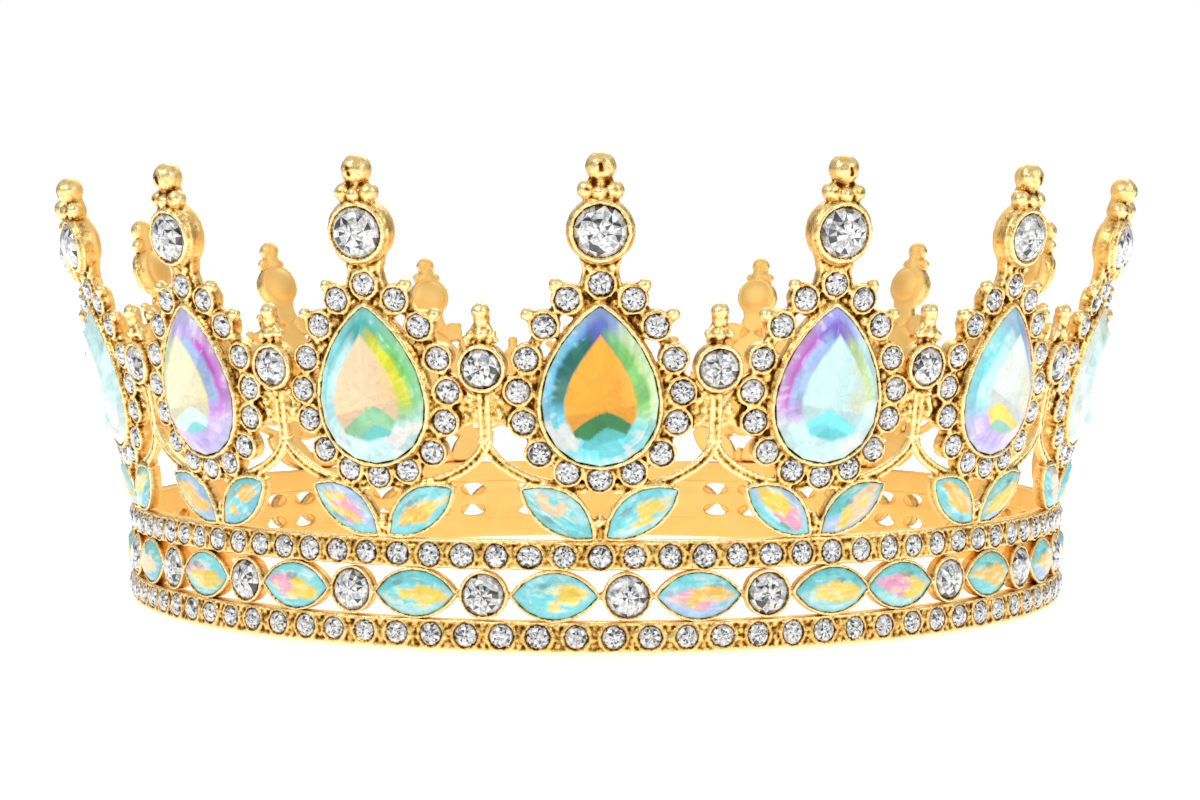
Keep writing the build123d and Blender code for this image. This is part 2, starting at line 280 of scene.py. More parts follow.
def quads(first, second, count):
    """Quads between two rings of points, given by the index that each ring starts at."""
    after = [(k + 1) % count for k in range(count)]
    return [[first + k, first + m, second + m, second + k] for k, m in enumerate(after)]


def prism(outline, low, high):
    """Closed outline raised between two depths."""
    count = len(outline)
    points = [(x, y, low) for x, y in outline] + [(x, y, high) for x, y in outline]
    ends = [list(range(count))[::-1], list(range(count, 2 * count))]
    return points, ends + quads(0, count, count)


def circle(centre, radius, count=24, phase=0.0):
    steps = [phase + 2 * math.pi * i / count for i in range(count)]
    return [(centre[0] + radius * math.cos(t), centre[1] + radius * math.sin(t)) for t in steps]


def ball(centre, radius, flat=1.0, rings=8, count=14):
    """Round bead, flattened outwards by a factor."""
    x, y, d = centre
    points = [(x, y, d - radius * flat)]
    for ring in range(1, rings):
        fall = math.pi * ring / rings
        depth = d - radius * flat * math.cos(fall)
        points += [(*spot, depth) for spot in circle((x, y), radius * math.sin(fall), count)]
    points.append((x, y, d + radius * flat))
    faces = []
    last = len(points) - 1
    for i in range(count):
        j = (i + 1) % count
        faces.append([0, 1 + j, 1 + i])
        faces.append([last, last - count + i, last - count + j])
        for ring in range(rings - 2):
            a, b = 1 + ring * count, 1 + (ring + 1) * count
            faces.append([a + i, a + j, b + j, b + i])
    return points, faces


def tube(path, radius, closed=False, sides=8):
    """Round wire along a path that lies about flat, at (across, up, outwards)."""
    path = [np.asarray(p, float) for p in path]
    count = len(path)
    points = []
    for i, here in enumerate(path):
        before = path[i - 1] if closed or i else here
        after = path[(i + 1) % count] if closed or i < count - 1 else here
        run = after - before
        run /= np.linalg.norm(run) or 1.0
        side = np.cross(run, (0.0, 0.0, 1.0))
        side /= np.linalg.norm(side) or 1.0
        lift = np.cross(side, run)
        for k in range(sides):
            turn = 2 * math.pi * k / sides
            points.append(here + (side * math.cos(turn) + lift * math.sin(turn)) * radius)
    faces = []
    for i in range(count if closed else count - 1):
        faces += quads(i * sides, (i + 1) % count * sides, sides)
    if not closed:
        faces.append(list(range(sides))[::-1])
        faces.append(list(range((count - 1) * sides, count * sides)))
    return points, faces


def ring_wire(centre, radius, depth, thick, count=28):
    return tube([(x, y, depth) for x, y in circle(centre, radius, count)], thick, closed=True)


def outline_wire(outline, depth, thick):
    return tube([(x, y, depth) for x, y in outline], thick, closed=True)


def drop_outline(place, extra, steps=24):
    """Pear outline in the panel's layout, point upwards, grown by extra."""
    low = place.flat(0.0, DROP_Z[0])[1] - extra
    high = place.flat(0.0, DROP_Z[1])[1] + extra
    half = DROP_HALF * place.wide + extra
    turns = [math.pi * i / steps for i in range(steps + 1)]
    reach = [math.sin(t) * math.sin(t / 2) ** 0.6 for t in turns]
    peak = max(reach)
    middle, rise = (low + high) / 2, (high - low) / 2
    right = [(r / peak * half, middle + rise * math.cos(t)) for r, t in zip(reach, turns)]
    return right + [(-x, y) for x, y in right[1:-1]][::-1]


def almond_outline(half_length, half_width, steps=10):
    """Pointed oval whose length lies along x."""
    radius = (half_length**2 + half_width**2) / (2 * half_width)
    top = []
    for i in range(steps + 1):
        x = half_length * (2.0 * i / steps - 1.0)
        top.append((x, math.sqrt(max(radius**2 - x**2, 0.0)) - (radius - half_width)))
    return top + [(x, -y) for x, y in top[1:-1]][::-1]


def leaf_outline(place, side, extra, steps=10):
    foot = place.flat(side * LEAF_FOOT[0], LEAF_FOOT[1])
    tip = place.flat(side * LEAF_TIP[0], LEAF_TIP[1])
    run = (tip[0] - foot[0], tip[1] - foot[1])
    length = math.hypot(*run)
    ux, uy = run[0] / length, run[1] / length
    mx, my = (foot[0] + tip[0]) / 2, (foot[1] + tip[1]) / 2
    points = almond_outline(length / 2 + extra, LEAF_HALF * place.size + extra, steps)
    bulge = 0.35 * place.size * side
    out = []
    for x, y in points:
        y += bulge * (1 - (x / (length / 2 + extra)) ** 2)
        out.append((mx + x * ux - y * uy, my + x * uy + y * ux))
    return out


def smooth_path(points, steps):
    """Evenly rounded run through a few points (Catmull-Rom)."""
    points = [np.asarray(p, float) for p in points]
    points = [2 * points[0] - points[1]] + points + [2 * points[-1] - points[-2]]
    out = []
    for i in range(1, len(points) - 2):
        a, b, c, d = points[i - 1 : i + 3]
        for k in range(steps):
            t = k / steps
            square = 2 * a - 5 * b + 4 * c - d
            cube = 3 * b - a - 3 * c + d
            out.append(0.5 * (2 * b + (c - a) * t + square * t**2 + cube * t**3))
    out.append(points[-2])
    return out


# ---- Blender data


def add_object(name, data):
    """New object with this data, in the scene."""
    item = bpy.data.objects.new(name, data)
    bpy.context.scene.collection.objects.link(item)
    return item


def set_values(node, values):
    """Sets a node's inputs by their names."""
    for name, value in values.items():
        node.inputs[name].default_value = value


def read_values(items, label, width, kind=float):
    """One row of numbers for each vertex or edge."""
    out = np.empty(len(items) * width, kind)
    items.foreach_get(label, out)
    return out.reshape(-1, width)


def sum_around(edges, values):
    """Sum of the values at each vertex's neighbours."""
    first, second = edges.T
    count = len(values)
    return np.bincount(first, values[second], count) + np.bincount(second, values[first], count)


# ---- fused castings


def lattice(cells, seed):
    """Repeatable random value, -1 to 1, for each whole-number cell."""
    c = cells.astype(np.int64)
    h = c[:, 0] * 374761393 + c[:, 1] * 668265263 + c[:, 2] * 2147483647 + seed * 974634777
    h = (h ^ (h >> 13)) * 1274126177
    h = h ^ (h >> 16)
    return (h & 0xFFFFFF) / float(0x7FFFFF) - 1.0


def grain(points, pitch, seed):
    """Smooth random value at each point; pitch is the grain's size in mm."""
    q = points / pitch
    base = np.floor(q)
    f = q - base
    f = f * f * (3 - 2 * f)
    total = np.zeros(len(points))
    for corner in itertools.product((0, 1), repeat=3):
        weight = np.prod(np.where(corner, f, 1 - f), axis=1)
        total += weight * lattice(base + corner, seed)
    return total


def wall_depth(points):
    """How far outwards of the wall's reference cone each point lies, in mm."""
    reach = np.hypot(points[:, 0], points[:, 1])
    slope = wall_slope(np.arctan2(points[:, 0], -points[:, 1]))
    leaning = (reach - FOOT_R - (points[:, 2] - FOOT_Z) * slope) / np.hypot(1.0, slope)
    upright = reach - FOOT_R
    return np.where(points[:, 2] > FOOT_Z, leaning, upright)


def fuse(heap, name, seed, coarse=1.0, rough=0.09, soil=0.47):
    """Fuses a heap into one skin, roughens its front and stores front and painted shade: darker in
    hollows and along seams, lighter on ridges.
    """
    mesh = bpy.data.meshes.new(name + "_raw")
    mesh.from_pydata([tuple(p) for p in np.concatenate(heap.points)], [], heap.faces)
    raw = add_object(name + "_raw", mesh)
    remesh = raw.modifiers.new("fuse", "REMESH")
    remesh.mode = "VOXEL"
    remesh.voxel_size = VOXEL * coarse
    relax = raw.modifiers.new("relax", "SMOOTH")
    relax.factor = 0.5
    relax.iterations = 2
    graph = bpy.context.evaluated_depsgraph_get()
    skin = bpy.data.meshes.new_from_object(raw.evaluated_get(graph))
    bpy.data.objects.remove(raw)
    bpy.data.meshes.remove(mesh)
    skin.name = name

    count = len(skin.vertices)
    co = read_values(skin.vertices, "co", 3)
    normal = read_values(skin.vertices, "normal", 3)
    edges = read_values(skin.edges, "vertices", 2, np.int64)

    reach = np.hypot(co[:, 0], co[:, 1])
    facing = (normal[:, 0] * co[:, 0] + normal[:, 1] * co[:, 1]) / np.maximum(reach, 1e-6)
    depth = wall_depth(co)
    front = np.clip((depth - FRONT_FROM) / FRONT_FADE, 0, 1) * np.clip(facing * 2 + 1.0, 0, 1)

    bumps = grain(co, COARSE_BUMP, seed) + grain(co, FINE_BUMP, seed + 7)
    push = rough * BUMP_SHARE * bumps * front + SWELL * grain(co, SWELL_PITCH, seed + 3)
    co = co + normal * push[:, None]

    # Painted shade: darker where the skin is hollow, lighter on ridges, plus dark lines along the seams.
    degree = np.bincount(edges.ravel(), minlength=count).astype(float)
    around = np.stack([sum_around(edges, co[:, k]) for k in range(3)], 1)
    hollow = ((around / degree[:, None] - co) * normal).sum(1) / (VOXEL * coarse)
    for _ in range(2):
        hollow = 0.5 * hollow + 0.5 * sum_around(edges, hollow) / degree
    cavity_shade = np.clip(soil + hollow * CAVITY_GAIN, 0, 1)
    if heap.seams:
        spots = np.concatenate(heap.seams)
        tree = KDTree(len(spots))
        for i, spot in enumerate(spots):
            tree.insert(spot, i)
        tree.balance()
        seam_shade = np.zeros(count)
        for i in np.nonzero(front > 0.3)[0]:
            _, nearest, away = tree.find(co[i])
            seam_shade[i] = heap.weights[nearest] * math.exp(-((away / SEAM_WIDTH) ** 2))
        cavity_shade = np.clip(cavity_shade + seam_shade, 0, 1)

    skin.vertices.foreach_set("co", (co * MM).ravel())
    for label, values in (("cavity_shade", cavity_shade), ("front", front)):
        layer = skin.attributes.new(label, "FLOAT", "POINT")
        layer.data.foreach_set("value", values.astype(np.float32))
    skin.polygons.foreach_set("use_smooth", [True] * len(skin.polygons))
    skin.update()
    skin.materials.clear()
    skin.materials.append(GOLD)
    return add_object(name, skin)


def cast(heap, name, node, seed, **options):
    """Fuses a heap into the gold piece that stands for a node."""
    stand_for(fuse(heap, name, seed, **options), "gold", node)


def stand_for(piece, slot, *nodes):
    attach(piece, "root")
    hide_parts(*nodes)


# ---- materials


def linear(colour):
    """sRGB 0-255 to linear 0-1."""
    out = []
    for value in colour:
        v = value / 255.0
        out.append(v / 12.92 if v <= 0.04045 else ((v + 0.055) / 1.055) ** 2.4)
    return out


def new_material(name):
    material = bpy.data.materials.new(name)
    material.use_nodes = True
    tree = material.node_tree
    tree.nodes.clear()
    out = tree.nodes.new("ShaderNodeOutputMaterial")
    shader = tree.nodes.new("ShaderNodeBsdfPrincipled")
    tree.links.new(shader.outputs["BSDF"], out.inputs["Surface"])
    return material, tree, shader


def attribute(tree, name):
    node = tree.nodes.new("ShaderNodeAttribute")
    node.attribute_name = name
    return node


def noise(tree, pitch_mm, detail=3.0, rough=0.6):
    """Noise on the object's own coordinates, with a grain size in millimetres."""
    coord = tree.nodes.new("ShaderNodeTexCoord")
    node = tree.nodes.new("ShaderNodeTexNoise")
    set_values(node, {"Scale": 1.0 / (pitch_mm * MM), "Detail": detail, "Roughness": rough})
    tree.links.new(coord.outputs["Object"], node.inputs["Vector"])
    return node


def ramp(tree, source, stops):
    node = tree.nodes.new("ShaderNodeValToRGB")
    elements = node.color_ramp.elements
    while len(elements) < len(stops):
        elements.new(0.5)
    for element, (place, colour) in zip(elements, stops):
        element.position = place
        element.color = (*colour, 1.0)
    tree.links.new(source, node.inputs["Fac"])
    return node


def blend_colour(tree, mode, factor, first, second):
    node = tree.nodes.new("ShaderNodeMix")
    node.data_type = "RGBA"
    node.blend_type = mode
    for socket, value in ((node.inputs[0], factor), (node.inputs[6], first), (node.inputs[7], second)):
        if hasattr(value, "is_output"):
            tree.links.new(value, socket)
        elif isinstance(value, (int, float)):
            socket.default_value = value
        else:
            socket.default_value = (*value, 1.0)
    return node.outputs[2]


def maths(tree, kind, first, second):
    node = tree.nodes.new("ShaderNodeMath")
    node.operation = kind
    for socket, value in ((node.inputs[0], first), (node.inputs[1], second)):
        if hasattr(value, "is_output"):
            tree.links.new(value, socket)
        else:
            socket.default_value = value
    return node.outputs[0]


def contour(tree, source, width):
    """Thin wandering lines: 1 where the noise is about a half, else 0."""
    gap = maths(tree, "ABSOLUTE", maths(tree, "SUBTRACT", source.outputs["Fac"], 0.5), 0.0)
    node = tree.nodes.new("ShaderNodeMapRange")
    set_values(node, {"From Min": 0.0, "From Max": width, "To Min": 1.0, "To Max": 0.0})
    tree.links.new(gap, node.inputs["Value"])
    return node.outputs["Result"]


def make_gold():
    material, tree, shader = new_material("cast_gold")
    cavity_shade = attribute(tree, "cavity_shade")
    front = attribute(tree, "front")
    fine = noise(tree, 0.55, 4.0, 0.7)
    broad = noise(tree, 4.0, 2.0, 0.5)
    lines = contour(tree, noise(tree, 0.9, 3.0, 0.65), 0.018)
    speckle = maths(tree, "MULTIPLY", maths(tree, "SUBTRACT", 0.5, fine.outputs["Fac"]), 0.85)
    # Painted shade: hollows and seams turn dark brown and ridges pale, with random speckle and lines on
    # top.
    shade_and_speckle = maths(tree, "ADD", cavity_shade.outputs["Fac"], speckle)
    shade_and_speckle = maths(tree, "ADD", shade_and_speckle, maths(tree, "MULTIPLY", lines, 0.22))
    shade_ramp = ramp(
        tree,
        shade_and_speckle,
        [
            (0.24, linear((253, 229, 172))),
            (0.42, linear((247, 210, 134))),
            (0.58, linear((228, 183, 98))),
            (0.74, linear((164, 112, 42))),
            (0.92, linear((70, 38, 5))),
        ],
    )
    stops = [(0.3, linear((249, 207, 124))), (0.7, linear((252, 216, 142)))]
    smooth = ramp(tree, broad.outputs["Fac"], stops).outputs["Color"]
    colour = blend_colour(tree, "MIX", front.outputs["Fac"], smooth, shade_ramp.outputs["Color"])
    tree.links.new(colour, shader.inputs["Base Color"])
    shader.inputs["Metallic"].default_value = 1.0
    dull = maths(tree, "ADD", maths(tree, "MULTIPLY", fine.outputs["Fac"], 0.22), 0.16)
    satin = maths(tree, "ADD", maths(tree, "MULTIPLY", broad.outputs["Fac"], 0.1), 0.56)
    mix = tree.nodes.new("ShaderNodeMix")
    tree.links.new(front.outputs["Fac"], mix.inputs[0])
    tree.links.new(satin, mix.inputs[2])
    tree.links.new(dull, mix.inputs[3])
    tree.links.new(mix.outputs[0], shader.inputs["Roughness"])
    bump = tree.nodes.new("ShaderNodeBump")
    bump.inputs["Distance"].default_value = 0.00012
    tree.links.new(maths(tree, "MULTIPLY", front.outputs["Fac"], 0.6), bump.inputs["Strength"])
    tree.links.new(fine.outputs["Fac"], bump.inputs["Height"])
    tree.links.new(bump.outputs["Normal"], shader.inputs["Normal"])
    return material


def make_crystal(name, glint_cloud, stops, glint_clouding, glint_lines, glint_line_share, glint_line_colour, gloss):
    """Glass coloured facet by facet, with painted reflections as clouds of flecks and thin lines."""
    material, tree, shader = new_material(name)
    tint_and_glint = attribute(tree, "tint_and_glint").outputs["Color"]
    glint_flecks = ramp(tree, noise(tree, *glint_cloud).outputs["Fac"], stops).outputs["Color"]
    colour = blend_colour(tree, "MULTIPLY", glint_clouding, tint_and_glint, glint_flecks)
    pitch, detail, width = glint_lines
    lines = maths(tree, "MULTIPLY", contour(tree, noise(tree, pitch, detail), width), glint_line_share)
    colour = blend_colour(tree, "MIX", lines, colour, glint_line_colour)
    tree.links.new(colour, shader.inputs["Base Color"])
    set_values(shader, gloss)
    return material


def make_clear():
    stops = [(0.36, (0.05, 0.055, 0.06)), (0.45, (0.5, 0.5, 0.5)), (0.52, (1.0, 1.0, 1.0))]
    gloss = {"Metallic": 0.3, "Roughness": 0.12, "Coat Weight": 1.0, "Coat Roughness": 0.02}
    glint_cloud, glint_lines, dark = (0.42, 2.0, 0.6), (0.6, 2.0, 0.025), (0.06, 0.065, 0.06)
    return make_crystal("clear_crystal", glint_cloud, stops, 0.5, glint_lines, 0.6, dark, gloss)


def make_aurora():
    stops = [(0.34, (0.5, 0.6, 0.62)), (0.5, (0.94, 0.96, 0.97)), (0.66, (1.0, 1.0, 1.0))]
    gloss = {"Metallic": 0.0, "Roughness": 0.25, "Coat Weight": 0.5, "Coat Roughness": 0.03}
    gloss["Specular IOR Level"] = 0.25
    glint_cloud, glint_lines, deep = (0.7, 4.0, 0.7), (1.3, 3.0, 0.01), linear((60, 120, 120))
    return make_crystal("aurora_crystal", glint_cloud, stops, 0.25, glint_lines, 0.25, deep, gloss)


GOLD = make_gold()
CLEAR = make_clear()
AURORA = make_aurora()


# ---- gold pieces


def add_cup(heap, place, centre, stone_r, front, back=CUP_BACK, lip=0.5, wire=0.27):
    """Round cup with a thin rolled rim that holds a stone."""
    heap.add(place, *prism(circle(centre, stone_r + lip), back, front - 0.15))
    heap.add(place, *ring_wire(centre, stone_r + wire, front, wire))
    # Painted shade round the stone and round the cup's foot.
    heap.seam(place, circle(centre, stone_r), front, weight=STONE_SHADE)
    heap.seam(place, circle(centre, stone_r + lip), front - 0.35, weight=0.4)


def add_grit(heap, place, rng, spots, count, spread, depth):
    """Small beads of metal left in the recesses of the casting."""
    for _ in range(count):
        x, y = rng.choice(spots)
        x += rng.uniform(-spread, spread)
        y += rng.uniform(-spread, spread)
        radius = rng.uniform(0.26, 0.5) * place.size
        heap.add(place, *ball((x, y, depth + rng.uniform(-0.2, 0.2)), radius, rings=5, count=8))


def add_collar(heap, place):
    """Pear collar, closed behind."""
    size = place.size
    heap.add(place, *prism(drop_outline(place, 0.75 * size), CUP_BACK, 0.9 * size))
    heap.add(place, *outline_wire(drop_outline(place, 0.3 * size), 1.3 * size, 0.28 * size))
    heap.add(place, *outline_wire(drop_outline(place, 0.75 * size), 0.7 * size, 0.3 * size))
    # Painted shade inside the collar's rim and round its foot.
    heap.seam(place, drop_outline(place, 0.05 * size), 1.4 * size)
    heap.seam(place, drop_outline(place, 0.95 * size), 0.6 * size)


def add_halo(heap, place, rng):
    """Halo of cups, bridged to each other, with an opening left in a few places."""
    size = place.size
    halo = [place.flat(x, z) for x, z in [HALO_TOP] + HALO]
    ring = halo + [place.flat(*HALO_LOW)] + [(-x, y) for x, y in halo[1:]][::-1]
    open_gaps = {rng.choice((2, 3)), rng.choice((12, 13)), rng.choice((1, 14, 16))}
    for i, centre in enumerate(ring):
        nudge = (rng.uniform(-0.08, 0.08), rng.uniform(-0.08, 0.08))
        centre = (centre[0] + nudge[0], centre[1] + nudge[1])
        add_cup(heap, place, centre, HALO_R * size, 0.75 * size, lip=0.46 * size, wire=0.23 * size)
        after = ring[(i + 1) % len(ring)]
        heap.add(place, *tube([(*centre, -0.3), (*after, -0.3)], 0.9 * size))
        inward = (centre[0] * 0.8, centre[1] + (place.flat(0, 35.5)[1] - centre[1]) * 0.2)
        heap.add(place, *tube([(*centre, -0.25), (*inward, -0.25)], 0.8 * size))
        if i not in open_gaps:
            mid = ((centre[0] + after[0]) / 2, (centre[1] + after[1]) / 2)
            heart = place.flat(0, 34.5)[1]
            lump = (mid[0] * 0.86, mid[1] + (heart - mid[1]) * 0.14)
            heap.add(place, *ball((*lump, -0.15), 1.3 * size, flat=rng.uniform(0.5, 0.75)))
    spots = []
    for i, centre in enumerate(ring):
        after = ring[(i + 1) % len(ring)]
        for share in (0.4, 0.5, 0.6):
            spots.append(tuple(c * (1 - share) + a * share for c, a in zip(centre, after)))
    add_grit(heap, place, rng, spots, 46, 0.7 * size, 0.35)


def add_horns(heap, place):
    """Horn beads on the shoulders."""
    size = place.size
    for side in (1, -1):
        for x, z in HORNS:
            cx, cy = place.flat(side * x, z)
            heap.add(place, *ball((cx, cy, 0.3), 0.92 * size))
            heap.add(place, *tube([(cx, cy, 0.0), (cx * 0.8, cy - 1.6 * size, -0.3)], 0.6 * size))
            heap.add(place, *ball((cx * 0.84, cy - 0.3 * size, 0.4), 0.5 * size))


def add_neck(heap, place, rng):
    """Neck, with a rough front."""
    size = place.size
    neck = [place.flat(x, z) for x, z in NECK]
    heap.add(place, *prism([(x * size / place.wide, y) for x, y in neck], FLAT_BACK, 0.5))
    spots = [place.flat(x, 50.6) for x in (-1.6, -0.8, 0.0, 0.8, 1.6)]
    add_grit(heap, place, rng, spots, 14, 0.5, 0.5)


def add_spire(heap, place):
    """Deep cup of the spire, with a domed back."""
    size = place.size
    top = place.flat(0.0, SPIRE_Z)
    heap.add(place, *prism(circle(top, (SPIRE_R + 0.9) * size, 36), SPIRE_BACK, 0.9 * size))
    heap.add(place, *ball((*top, -0.9), 3.7 * size, flat=0.42, rings=10, count=24))
    heap.add(place, *ring_wire(top, (SPIRE_R + 0.62) * size, 0.95 * size, 0.46 * size, 40))
    heap.add(place, *prism(circle(top, (SPIRE_R + 0.5) * size, 36), 0.5, 1.6 * size))
    heap.add(place, *ring_wire(top, (SPIRE_R + 0.34) * size, 1.65 * size, 0.36 * size, 40))
    # Painted shade round the stone and round the cup's foot.
    heap.seam(place, circle(top, SPIRE_R * size, 40), 1.75 * size, weight=STONE_SHADE)
    heap.seam(place, circle(top, (SPIRE_R + 0.95) * size, 40), 0.75 * size, weight=0.3)


def add_tip(heap, place, rng):
    """Cluster of beads and the ball on top."""
    size = place.size
    for x, z, r, d in CLUSTER:
        heap.add(place, *ball((*place.flat(x, z), d * size), r * size))
    heap.add(place, *ball((*place.flat(0.0, 61.2), -0.2), 1.45 * size))
    heap.add(place, *ball((*place.flat(0.0, 60.3), -0.4), 1.7 * size, flat=0.8))
    heap.add(place, *ball((*place.flat(0.0, TIP_Z), 0.1), 2.0 * size, rings=12, count=20))
    # Painted shade between the beads.
    for x, z, slant, tall, depth, weight in CLUSTER_MARKS:
        mark = [place.flat(x, z), place.flat(x + slant, z - tall)]
        heap.seam(place, mark, depth * size, weight=weight)
    # A dark pit on the ball, painted as shade.
    pit = (rng.uniform(-0.3, 0.1), TIP_Z + rng.uniform(0.2, 0.6))
    mark = [place.flat(*pit), place.flat(pit[0] + 0.15, pit[1] - 0.7)]
    heap.seam(place, mark, 2.0 * size, weight=1.1)


def add_leaves(heap, place, rng):
    """Leaf cups, their stem, and the swags above them."""
    size = place.size
    for side in (1, -1):
        heap.add(place, *prism(leaf_outline(place, side, 0.42 * size), FLAT_BACK, 0.35))
        heap.add(place, *outline_wire(leaf_outline(place, side, 0.25 * size, 14), 0.55, 0.3 * size))
        # Painted shade round the stone and round the leaf cup's foot.
        heap.seam(place, leaf_outline(place, side, 0.0), 0.6, weight=0.6)
        heap.seam(place, leaf_outline(place, side, 0.45 * size), 0.2, weight=0.35)
        path = smooth_path([(*place.flat(side * x, z), 0.1) for x, z in SWAG], 4)
        for shift in (-0.42, 0.42):
            moved = []
            for i, p in enumerate(path):
                run = path[min(i + 1, len(path) - 1)] - path[max(i - 1, 0)]
                run /= np.linalg.norm(run)
                moved.append(p + np.array([-run[1], run[0], 0.0]) * shift * size)
            heap.add(place, *tube(moved, 0.4 * size))
        # Painted shade in the groove between the swag's two wires.
        there = [tuple(p[:2]) for p in path]
        heap.seam(place, there + there[::-1], 0.25, weight=0.25)
        low = [p - np.array([0, 0, 0.6]) for p in path]
        heap.add(place, *tube(low, 0.62 * size))
        heap.add(place, *prism([place.flat(side * x, z) for x, z in WEB], WEB_BACK, 0.15))
        spots = [place.flat(side * x, z) for x, z in ((12.4, 36.0), (12.9, 33.2), (13.2, 31.6))]
        add_grit(heap, place, rng, spots, 10, 0.7, 0.15)
        foot = place.flat(side * 0.9, 15.6)
        path = [(foot[0], foot[1] + 1.2, -0.1), (foot[0] * 0.6, -0.15, -0.1)]
        heap.add(place, *tube(path, 0.55 * size))
    heap.add(place, *tube([(0, 0.05, -0.2), (0, place.flat(0, 18.2)[1], -0.3)], 0.6 * size))
    add_grit(heap, place, rng, [place.flat(0.0, z) for z in (16.2, 17.2, 18.0)], 8, 0.35, 0.3)


def add_panel(heap, place, rng):
    add_collar(heap, place)
    add_halo(heap, place, rng)
    add_horns(heap, place)
    add_neck(heap, place, rng)
    add_spire(heap, place)
    add_tip(heap, place, rng)
    add_leaves(heap, place, rng)


def add_post(heap, place, rng):
    """Post between two panels: cup, beads on top and ribs below."""
    size = place.size
    centre = place.flat(0.0, POST_Z)
    heap.add(place, *prism(circle(centre, (POST_R + 0.62) * size, 32), CUP_BACK, 0.9 * size))
    heap.add(place, *ball((*centre, -0.8), 2.7 * size, flat=0.4, rings=10, count=24))
    heap.add(place, *ring_wire(centre, (POST_R + 0.28) * size, 1.15 * size, 0.33 * size, 36))
    # Painted shade round the stone and round the cup's foot.
    heap.seam(place, circle(centre, POST_R * size, 36), 1.2 * size, weight=STONE_SHADE)
    heap.seam(place, circle(centre, (POST_R + 0.65) * size, 36), 0.6 * size, weight=0.4)
    for x, z, r, d in POST_CLUSTER:
        heap.add(place, *ball((*place.flat(x, z), d * size), r * size))
    heap.add(place, *tube([(*place.flat(0, 40.6), -0.2), (*place.flat(0.1, 44.6), -0.1)], 0.95 * size))
    heap.add(place, *ball((*place.flat(0.05, 43.9), 0.0), 1.12 * size))
    heap.add(place, *ball((*place.flat(0.0, 44.95), 0.15), 1.2 * size, rings=10, count=18))
    spots = [place.flat(x, z) for x in (-1.6, 0, 1.6) for z in (34.2, 41.4)]
    add_grit(heap, place, rng, spots, 18, 0.6, 0.3)
    for side in (1, -1):
        rib = ((0.52, 35.0, 0.1), (0.5, 31.0, 0.15), (0.42, 27.9, 0.15))
        path = [(*place.flat(side * x, z), depth) for x, z, depth in rib]
        heap.add(place, *tube(smooth_path(path, 4), 0.42 * size))
    path = [(*place.flat(0, 36.0), -0.5), (*place.flat(0, 27.6), -0.5)]
    heap.add(place, *tube(path, 0.75 * size))
    heap.add(place, *ball((*place.flat(0, 28.0), -0.1), 0.75 * size))


def swept_ring(section):
    """Closed ring whose section is (radius, height) corners."""
    around = 480
    points = []
    for i in range(around):
        turn = 2 * math.pi * i / around
        for radius, height in section:
            points.append((radius * math.sin(turn), -radius * math.cos(turn), height))
    faces = []
    count = len(section)
    for i in range(around):
        faces += quads(i * count, (i + 1) % around * count, count)
    return points, faces


class AsIs:
    """A shape already in the crown's frame."""

    @staticmethod
    def bend(points):
        return np.asarray(points, float)


def band_sizes(count, seed):
    """How wide and tall each band stone is, and how far it sits off its even place."""
    rng = random.Random(seed)
    ranges = ((0.9, 1.04), (0.9, 1.02), (-0.12, 0.12))
    return [tuple(rng.uniform(*span) for span in ranges) for _ in range(count)]


# Each band's node, heights, height of its stones, their azimuths, and a seed.
BANDS = (
    (
        "lower_band",
        LOWER_Z,
        LOWER_STONE_Z,
        [LOWER_PHASE + 360.0 / LOWER_COUNT * i for i in range(LOWER_COUNT)],
        11,
    ),
    ("upper_band", UPPER_Z, UPPER_STONE_Z, [360.0 / UPPER_COUNT * i for i in range(UPPER_COUNT)], 12),
)


def add_band(heap, span, stone_z, azimuths, sizes, rng):
    low, high = span
    inner, outer = BAND_R - BAND_BACK, BAND_R - 0.4
    section = [(inner, low + 0.05), (outer, low + 0.05), (outer, high - 0.05), (inner, high - 0.05)]
    heap.add(AsIs, *swept_ring(section))
    for height in (low + 0.22, high - 0.22):
        heap.add(AsIs, *swept_ring(circle((BAND_R - 0.3, height), 0.22, 8)))
    for i, azimuth in enumerate(azimuths):
        place = BasePlace(azimuth, stone_z, BAND_R)
        wide, tall, across = sizes[i]
        rim = [(across + x * wide, y * tall) for x, y in circle((0, 0), BAND_STONE_R + 0.2, 20)]
        heap.add(place, *outline_wire(rim, -0.18, 0.23))
        # Painted shade round each stone.
        edge = [(across + x * wide, y * tall) for x, y in circle((0, 0), BAND_STONE_R, 16)]
        heap.seam(place, edge, -0.1, weight=0.6)
        step = (azimuths[1] - azimuths[0]) / 2
        between = BasePlace(azimuth + step, stone_z, BAND_R)
        for y in (-1.15, -0.38, 0.38, 1.15):
            spot = (rng.uniform(-0.16, 0.16), y + rng.uniform(-0.15, 0.15), -0.36)
            heap.add(between, *ball(spot, rng.uniform(0.28, 0.42), rings=5, count=8))
        # Painted shade: a dark line between neighbouring stones.
        edge = rng.uniform(-0.25, 0.25)
        heap.seam(between, [(edge, -1.3), (edge * 0.4, 1.3)], -0.2, weight=0.2)


def chain_places():
    """Azimuths of the almond cups and of the round cups, and the step between them."""
    spaces = 2 * ALMONDS - 2
    step = (360.0 - JOINT_SPAN) / spaces
    start = JOINT_AZIMUTH + JOINT_SPAN / 2
    places = [start + step * i for i in range(spaces + 1)]
    return places[0::2], places[1::2], step


